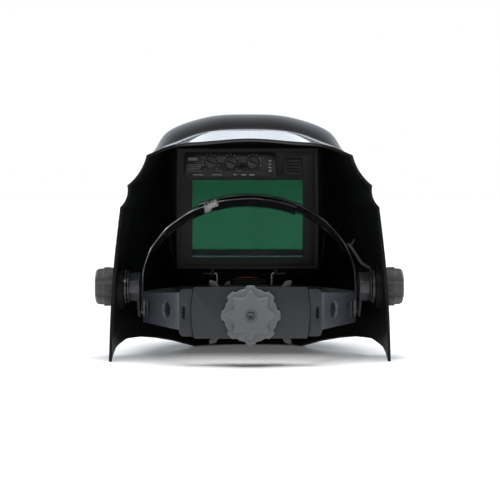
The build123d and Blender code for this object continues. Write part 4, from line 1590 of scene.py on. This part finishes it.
@dataclass
class Headgear:
    """Forehead band, crown strap, rear straps and the two soft pieces."""

    finishes: Finishes
    cap: float = 2.2 * MM
    clip_x: float = 33.4 * MM
    clip_y: float = -2.2 * MM
    clip_drop: float = 4.8 * MM
    clip_slope: float = 21.0
    clip_lean: float = 20.0

    def build(self) -> None:
        """Builds and dresses the pieces."""
        f = self.finishes
        band = rounded_copy("forehead_band", f.band, 0.35 * MM)
        stand_for(band, "headgear", "band_plastic", "forehead_band")
        for side in ("left", "right"):
            crown = rounded_copy(f"crown_strap_{side}", f.crown, 0.4 * MM, 3)
            stand_for(crown, "crown", "crown_plastic", f"crown_strap_{side}")
            strap = rounded_copy(f"rear_strap_{side}", f.band, 0.4 * MM, 3)
            stand_for(strap, "nape", "band_plastic", f"rear_strap_{side}")
            dress(f"strap_rack_{side}", f.band)
        self.buckle()
        rivets = rounded_copy("band_rivets", f.spacer, 0.4 * MM)
        stand_for(rivets, "headgear", "spacer_plastic", "band_rivets")
        self.sweatband()
        self.nape_pad()

    def buckle(self) -> None:
        """Ribbed clip round the crown pin, at the rear edge of the strap, coloured pale grey as a painted
        highlight of light caught on pin and clip.
        """
        finish = self.finishes.buckle
        pin = rounded_copy("crown_pin", finish, 0.3 * MM)
        _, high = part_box("crown_pin")
        base = block("clip_base", (13.0 * MM, 3.0 * MM, 5.0 * MM), finish, 0.6 * MM)
        rib = block("clip_rib", (1.7 * MM, 3.8 * MM, 6.4 * MM), finish, 0.5 * MM)
        ribs = REPEATER.spread(
            rib,
            REPEATER.row,
            Count=4,
            First=(-4.8 * MM, 0.0, 0.3 * MM),
            Step=(3.2 * MM, 0.0, 0.0),
            Finish=finish,
        )
        clip = join("clip", [base, ribs])
        place = Matrix.Translation(Vector((self.clip_x, self.clip_y, high.z - self.clip_drop)))
        slope = Matrix.Rotation(math.radians(self.clip_slope), 4, "Y")
        lean = Matrix.Rotation(math.radians(self.clip_lean), 4, "X")
        clip.data.transform(place @ slope @ lean)
        whole = join("crown_pin_clip", [pin, clip])
        smooth(whole, 35)
        stand_for(whole, "crown", "spacer_plastic", "crown_pin")

    def sweatband(self) -> None:
        """Padded leatherette strip inside the forehead band: crowned, with stitched edges and perforations."""
        low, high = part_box("sweatband")
        band_low, band_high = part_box("forehead_band")
        centre = Vector((0, band_high.y, (low.z + high.z) / 2))
        outer_w = (band_high.x - band_low.x) / 2 - 2.2 * MM
        outer_d = band_high.y - band_low.y - 2.2 * MM
        thick = 4.4 * MM
        tall = (high.z - low.z) / 2
        reach = math.acos(min(1.0, (high.x - 0.6 * MM) / outer_w))
        first, last = math.pi + reach, 2 * math.pi - reach
        around, profile_n = 120, 28
        rng = np.random.default_rng(7)
        wrinkle = np.convolve(rng.normal(0, 1, around + 9), np.ones(9) / 9, "same")[4 : 4 + around + 1]
        verts, faces = [], []
        for i in range(around + 1):
            w = i / around
            angle = first + (last - first) * w
            taper = min(1.0, math.sin(math.pi * w) * 9) ** 0.5 if 0 < w < 1 else 0.12
            normal = Vector((math.cos(angle) * outer_d, math.sin(angle) * outer_w, 0)).normalized()
            base = centre + Vector((math.cos(angle) * outer_w, math.sin(angle) * outer_d, 0))
            for j in range(profile_n):
                a = 2 * math.pi * j / profile_n
                c, s = math.cos(a), math.sin(a)
                height = tall * math.copysign(abs(s) ** 0.6, s)
                side = math.copysign(abs(c) ** 0.75, c)
                puff = 0.5 + 0.5 * side
                swell = 1 + 0.07 * wrinkle[i] * (1 - abs(s))
                depth = thick * (0.5 - 0.5 * side) * taper
                if side < 0:
                    depth *= swell
                rise = Vector((0, 0, height * (0.94 + 0.06 * taper)))
                verts.append(base - normal * (depth + 0.2 * MM * puff) + rise)
        for i in range(around):
            for j in range(profile_n):
                k = (j + 1) % profile_n
                a, b = i * profile_n, (i + 1) * profile_n
                faces.append((a + j, a + k, b + k, b + j))
        for row in (0, around):
            middle = len(verts)
            ring = [verts[row * profile_n + j] for j in range(profile_n)]
            verts.append(sum(ring, Vector((0, 0, 0))) / profile_n)
            for j in range(profile_n):
                faces.append((middle, row * profile_n + j, row * profile_n + (j + 1) % profile_n))
        band = piece_from("sweatband_padded", verts, faces, self.finishes.sweat)
        mend(band)
        smooth(band, 60)
        parts = [self.stitches(centre, outer_w, outer_d, thick, tall, first, last)]
        parts.append(self.perforations(centre, outer_w, outer_d, thick, first, last))
        stand_for(band, "headgear", "sweat_fabric", "sweatband")
        trim = join("sweatband_stitching", parts)
        stand_for(trim, "headgear", "sweat_fabric")

    def stitches(
        self,
        centre: Vector,
        outer_w: float,
        outer_d: float,
        thick: float,
        tall: float,
        first: float,
        last: float,
    ) -> bpy.types.Object:
        """Two rows of stitches near the edges of the sweatband.

        Args:
            centre: Middle of the oval.
            outer_w: Half width of the strip's outer face.
            outer_d: Half depth of the same.
            thick: Thickness of the strip.
            tall: Half its height.
            first: Angle where it starts.
            last: Angle where it ends.

        Returns:
            The stitches as one piece.
        """
        rows = []
        count = 74
        for up in (-1, 1):
            stitch = block("stitch", (0.4 * MM, 1.9 * MM, 0.45 * MM), self.finishes.thread, 0.12 * MM)
            inset = thick * 0.74
            rows.append(
                REPEATER.spread(
                    stitch,
                    REPEATER.oval,
                    Count=count,
                    Centre=(centre.x, centre.y, centre.z + up * tall * 0.8),
                    Half_Width=outer_w - inset,
                    Half_Depth=outer_d - inset,
                    First_Angle=first + 0.06,
                    Step_Angle=(last - first - 0.12) / (count - 1),
                    Finish=self.finishes.thread,
                )
            )
        return join("stitches", rows)

    def perforations(
        self, centre: Vector, outer_w: float, outer_d: float, thick: float, first: float, last: float
    ) -> bpy.types.Object:
        """Rows of breathing holes along the inner face of the sweatband, drawn as black discs: painted shade
        of the holes.
            outer_w: Half width of the strip's outer face.
            outer_d: Half depth of the same.
            thick: Thickness of the strip.
            first: Angle where it starts.
            last: Angle where it ends.

        Returns:
            The holes as one piece.
        """
        rows = []
        for row in range(-2, 3):
            count = 44
            # painted shade: each breathing hole is a black disc, not a cut
            dot = disc("perforation", Axis.X, 0.65 * MM, 0.3 * MM, self.finishes.painted_hole_shade, 8)
            shift = 0.5 * (row % 2) * (last - first) / count
            inset = thick * (1.0 - 0.012 * row * row)
            rows.append(
                REPEATER.spread(
                    dot,
                    REPEATER.oval,
                    Count=count,
                    Centre=(centre.x, centre.y, centre.z + row * 3.6 * MM),
                    Half_Width=outer_w - inset,
                    Half_Depth=outer_d - inset,
                    First_Angle=first + 0.09 + shift,
                    Step_Angle=(last - first - 0.2) / count,
                    Finish=self.finishes.painted_hole_shade,
                )
            )
        return join("perforations", rows)

    def nape_pad(self) -> None:
        """Foam pad at the nape: a crowned cushion, inflated by cloth simulation."""
        low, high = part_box("nape_pad")
        centre = (low + high) / 2
        half = (high - low) / 2
        corner = 12 * MM
        outline = []
        for k in range(64):
            a = 2 * math.pi * k / 64
            unit = Vector((math.cos(a), math.sin(a)))
            spot = Shell.on_window(np.array(unit), half.x - 1.2 * MM, half.z - 1.2 * MM, corner)
            outline.append((spot[0], spot[1]))
        verts, faces = [], []
        near_half = [(-1, 0.0), (-1, 0.55), (-1, 0.9), (-0.6, 1.0), (0, 1.0)]
        rings = near_half + [(-side, size) for side, size in reversed(near_half[:-1])]
        for side, size in rings:
            depth = half.y * (0.86 if abs(side) == 1 else 0.8) * side * (1 - 0.25 * size**6)
            for x, z in outline:
                verts.append(centre + Vector((x * max(size, 0.01), depth, z * max(size, 0.01))))
        n = len(outline)
        for ring in range(len(rings) - 1):
            for j in range(n):
                k = (j + 1) % n
                faces.append((ring * n + j, ring * n + k, (ring + 1) * n + k, (ring + 1) * n + j))
        pad = piece_from("nape_pad_foam", verts, faces, self.finishes.pad)
        mend(pad, 0.6 * MM)
        self.inflate(pad, low, high)
        subdivide = pad.modifiers.new("soften", "SUBSURF")
        subdivide.levels = 1
        subdivide.render_levels = 1
        settle(pad)
        mend(pad)
        smooth(pad, 80)
        stand_for(pad, "nape", "pad_fabric", "nape_pad")

    def inflate(self, pad: bpy.types.Object, low: Vector, high: Vector) -> None:
        """Swells the pad by cloth pressure and keeps it in the space of its CAD solid.

        Args:
            pad: The pad.
            low: Lowest corner of the space.
            high: Highest corner of the space.
        """
        remesh = pad.modifiers.new("even", "REMESH")
        remesh.mode = "VOXEL"
        remesh.voxel_size = 2.0 * MM
        settle(pad)
        pad.data.materials.clear()
        pad.data.materials.append(self.finishes.pad)
        before = [v.co.copy() for v in pad.data.vertices]
        cloth = pad.modifiers.new("cloth", "CLOTH")
        cloth.settings.quality = 5
        cloth.settings.mass = 0.1
        cloth.settings.use_pressure = True
        cloth.settings.uniform_pressure_force = 4.0
        cloth.settings.effector_weights.gravity = 0.0
        cloth.point_cache.frame_start = 1
        cloth.point_cache.frame_end = 20
        for step in range(1, 21):
            bpy.context.scene.frame_set(step)
        settle(pad)
        bpy.context.scene.frame_set(1)
        for vertex, rest in zip(pad.data.vertices, before):
            move = vertex.co - rest
            if move.length > self.cap:
                move = move.normalized() * self.cap
            spot = rest + move
            for axis in range(3):
                spot[axis] = min(max(spot[axis], low[axis] + 0.1 * MM), high[axis] - 0.1 * MM)
            vertex.co = spot


# ---------------------------------------------------------------- ratchet


@dataclass
class Ratchet:
    """Ratchet housing at the nape with its knob, and the X-shaped bracket."""

    finishes: Finishes
    lobes: int = 8
    rim_r: float = 22.2
    tip_r: float = 24.15

    def build(self) -> None:
        """Builds and dresses the pieces."""
        f = self.finishes
        for node in ("ratchet_cover", "ratchet_base"):
            stand_for(rounded_copy(node, f.housing, 0.6 * MM, 3), "nape", "band_plastic", node)
        bracket = rounded_copy("nape_bracket", f.knob, 0.5 * MM)
        stand_for(bracket, "nape", "spacer_plastic", "nape_bracket")
        dress("detent_spring", f.zinc)
        dress("pinion", f.spacer)
        self.knob()
        self.screw()

    def knob(self) -> None:
        """The knob: eight grip tabs on its rim and a raised eight-pointed star on its face."""
        low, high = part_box("ratchet_knob")
        centre = Vector(((low.x + high.x) / 2, 0, (low.z + high.z) / 2))
        depth = high.y - low.y
        step = 2 * math.pi / self.lobes

        def off_lobe(angle: float) -> float:
            """Angle to the nearest lobe, in half steps."""
            return abs((angle + step / 2) % step - step / 2) / (step / 2)

        def tabs(base: float, reach: float) -> Callable[[float], float]:
            """Near-round rim with a narrow square tab at each lobe."""

            def at(angle: float) -> float:
                """Radius at one angle."""
                away = off_lobe(angle)
                rise = 1 - min(1.0, max(0.0, (away - 0.34) / 0.16))
                sag = 0.35 * MM * (1 - min(1.0, abs(away - 0.72) / 0.28))
                return base - sag + (reach - base) * rise * rise * (3 - 2 * rise)

            return at

        def star(valley: float, tip: float) -> Callable[[float], float]:
            """Star with rounded tips and wide rounded valleys."""

            def at(angle: float) -> float:
                """Radius at one angle."""
                wave = 0.5 + 0.5 * math.cos(math.pi * off_lobe(angle))
                return valley + (tip - valley) * wave**1.6

            return at

        rim, tip = self.rim_r * MM, self.tip_r * MM
        profile = [
            (0.0, tabs(rim * 0.6, rim * 0.6)),
            (0.0, tabs(rim * 0.96, tip * 0.96)),
            (0.06, tabs(rim, tip)),
            (0.56, tabs(rim, tip)),
            (0.62, tabs(rim * 0.99, tip * 0.985)),
            (0.655, tabs(rim * 0.965, tip * 0.955)),
            (0.665, tabs(rim * 0.94, tip * 0.925)),
            (0.68, star(16.4 * MM, 20.6 * MM)),
            (0.72, star(15.6 * MM, 20.2 * MM)),
            (0.92, star(15.1 * MM, 19.8 * MM)),
            (0.98, star(14.8 * MM, 19.5 * MM)),
            (1.0, star(14.3 * MM, 19.0 * MM)),
        ]
        rings = [(low.y + depth * d, radius) for d, radius in profile]
        star = [(0.99, 13.0), (0.975, 9.0), (0.975, 5.7)]
        hollow = [(0.94, 5.4), (0.94, 5.0), (0.985, 4.7), (0.985, 3.9)]
        face = star + hollow
        face += [(0.96, 3.65), (0.72, 3.6), (0.72, 1.0)]
        rings += [(low.y + depth * d, (lambda r: lambda _a: r)(radius * MM)) for d, radius in face]
        knob = turned("ratchet_knob_turned", Axis.Y, centre, rings, 240, self.finishes.ratchet)
        smooth(knob, 30)
        stand_for(knob, "ratchet_knob", "knob_plastic", "ratchet_knob")

    def screw(self) -> None:
        """Pan head screw with a cross recess."""
        screw = rounded_copy("knob_screw", self.finishes.zinc, 0.15 * MM)
        stand_for(screw, "ratchet_knob", "zinc_steel", "knob_screw")


# ---------------------------------------------------------------- studio


@dataclass
class Studio:
    """Camera, floor and plain soft light."""

    eye: Point = (0.019, 1.5205, 0.140)
    aim: Point = (0.0, 0.0775, 0.0933)
    lens: float = 124.7
    floor_size: float = 40.0
    sky: float = 1.0
    wall: float = 2.4
    room: float = 0.35
    ceiling: float = 0.22
    diffuse_share: float = 0.15
    sky_fill: float = 3.9
    sky_angle: float = 40.0

    def build(self) -> None:
        """Sets up camera, floor, world and lights."""
        camera = bpy.data.cameras.new("camera")
        camera.lens = self.lens
        camera.clip_end = 50
        holder = bpy.data.objects.new("camera", camera)
        bpy.context.scene.collection.objects.link(holder)
        holder.location = self.eye
        holder.rotation_euler = (Vector(self.aim) - Vector(self.eye)).to_track_quat("-Z", "Y").to_euler()
        bpy.context.scene.camera = holder
        bpy.context.scene.view_settings.view_transform = "Standard"
        self.floor()
        self.world()
        self.sun()
        self.lamp("back_box", (0.3, 1.7, 1.9), (0.0, 0.0, 0.1), 0.7, 11.0)

    def sun(self) -> None:
        """Wide soft light from straight above that makes no reflection."""
        light = bpy.data.lights.new("sky_fill", "SUN")
        light.energy = self.sky_fill
        light.angle = math.radians(self.sky_angle)
        holder = bpy.data.objects.new("sky_fill", light)
        bpy.context.scene.collection.objects.link(holder)
        holder.visible_glossy = False

    def floor(self) -> None:
        """Pale floor."""
        half = self.floor_size
        finish = PlainPrint("studio_floor", (0.86, 0.86, 0.86), 0.6).build()
        verts = [(-half, -half, 0), (half, -half, 0), (half, half, 0), (-half, half, 0)]
        piece_from("floor", verts, [(0, 1, 2, 3)], finish)

    def world(self) -> None:
        """White wall beyond the helmet, dark ceiling, dim room behind the camera; plain white to the eye."""
        world = bpy.data.worlds.new("studio")
        bpy.context.scene.world = world
        world.use_nodes = True
        tree = world.node_tree
        sky = tree.nodes["Background"]
        place = add_node(tree, "ShaderNodeTexCoord")
        split = add_node(tree, "ShaderNodeSeparateXYZ")
        depth = add_node(tree, "ShaderNodeMapRange")
        depth.inputs["From Min"].default_value = 0.3
        depth.inputs["From Max"].default_value = -0.5
        depth.inputs["To Min"].default_value = self.room
        depth.inputs["To Max"].default_value = self.wall
        height = add_node(tree, "ShaderNodeMapRange", interpolation_type="SMOOTHSTEP")
        height.inputs["From Min"].default_value = 0.57
        height.inputs["From Max"].default_value = 0.77
        height.inputs["To Min"].default_value = 1.0
        height.inputs["To Max"].default_value = 0.0
        low_sky = add_node(tree, "ShaderNodeMath", operation="MULTIPLY")
        whole = add_node(tree, "ShaderNodeMath", operation="MAXIMUM")
        whole.inputs[1].default_value = self.ceiling
        seen = add_node(tree, "ShaderNodeLightPath")
        choose = add_node(tree, "ShaderNodeMix", data_type="FLOAT")
        choose.inputs["B"].default_value = self.sky
        tint = add_node(tree, "ShaderNodeMix", data_type="RGBA")
        tint.inputs["A"].default_value = (0.86, 0.92, 1.0, 1)
        tint.inputs["B"].default_value = (1, 1, 1, 1)
        link = tree.links.new
        link(place.outputs["Generated"], split.inputs["Vector"])
        link(split.outputs["Y"], depth.inputs["Value"])
        link(split.outputs["Z"], height.inputs["Value"])
        link(depth.outputs["Result"], low_sky.inputs[0])
        link(height.outputs["Result"], low_sky.inputs[1])
        link(low_sky.outputs[0], whole.inputs[0])
        link(seen.outputs["Is Camera Ray"], choose.inputs["Factor"])
        link(whole.outputs[0], choose.inputs["A"])
        # the surroundings show in reflections and give only a part of their light to matt surfaces
        share = add_node(tree, "ShaderNodeMapRange")
        share.inputs["To Min"].default_value = 1.0
        share.inputs["To Max"].default_value = self.diffuse_share
        strength = add_node(tree, "ShaderNodeMath", operation="MULTIPLY")
        link(seen.outputs["Is Diffuse Ray"], share.inputs["Value"])
        link(choose.outputs["Result"], strength.inputs[0])
        link(share.outputs["Result"], strength.inputs[1])
        link(strength.outputs[0], sky.inputs["Strength"])
        link(seen.outputs["Is Camera Ray"], tint.inputs["Factor"])
        link(tint.outputs["Result"], sky.inputs["Color"])

    @staticmethod
    def lamp(name: str, place: Point, aim: Point, size: float, power: float) -> None:
        """One square soft light.

        Args:
            name: Its name.
            place: Where it hangs.
            aim: What it points at.
            size: Its side.
            power: Its power in watts.
        """
        light = bpy.data.lights.new(name, "AREA")
        light.shape = "SQUARE"
        light.size = size
        light.energy = power
        holder = bpy.data.objects.new(name, light)
        bpy.context.scene.collection.objects.link(holder)
        holder.location = place
        holder.rotation_euler = (Vector(aim) - Vector(place)).to_track_quat("-Z", "Y").to_euler()


def main() -> None:
    """Builds the helmet and its studio."""
    finishes = Finishes()
    Studio().build()
    Shell(finishes).build()
    LensWindow(finishes).build()
    Cartridge(finishes).build()
    SidePivots(finishes).build()
    Headgear(finishes).build()
    Ratchet(finishes).build()


if __name__ == "__main__":
    main()
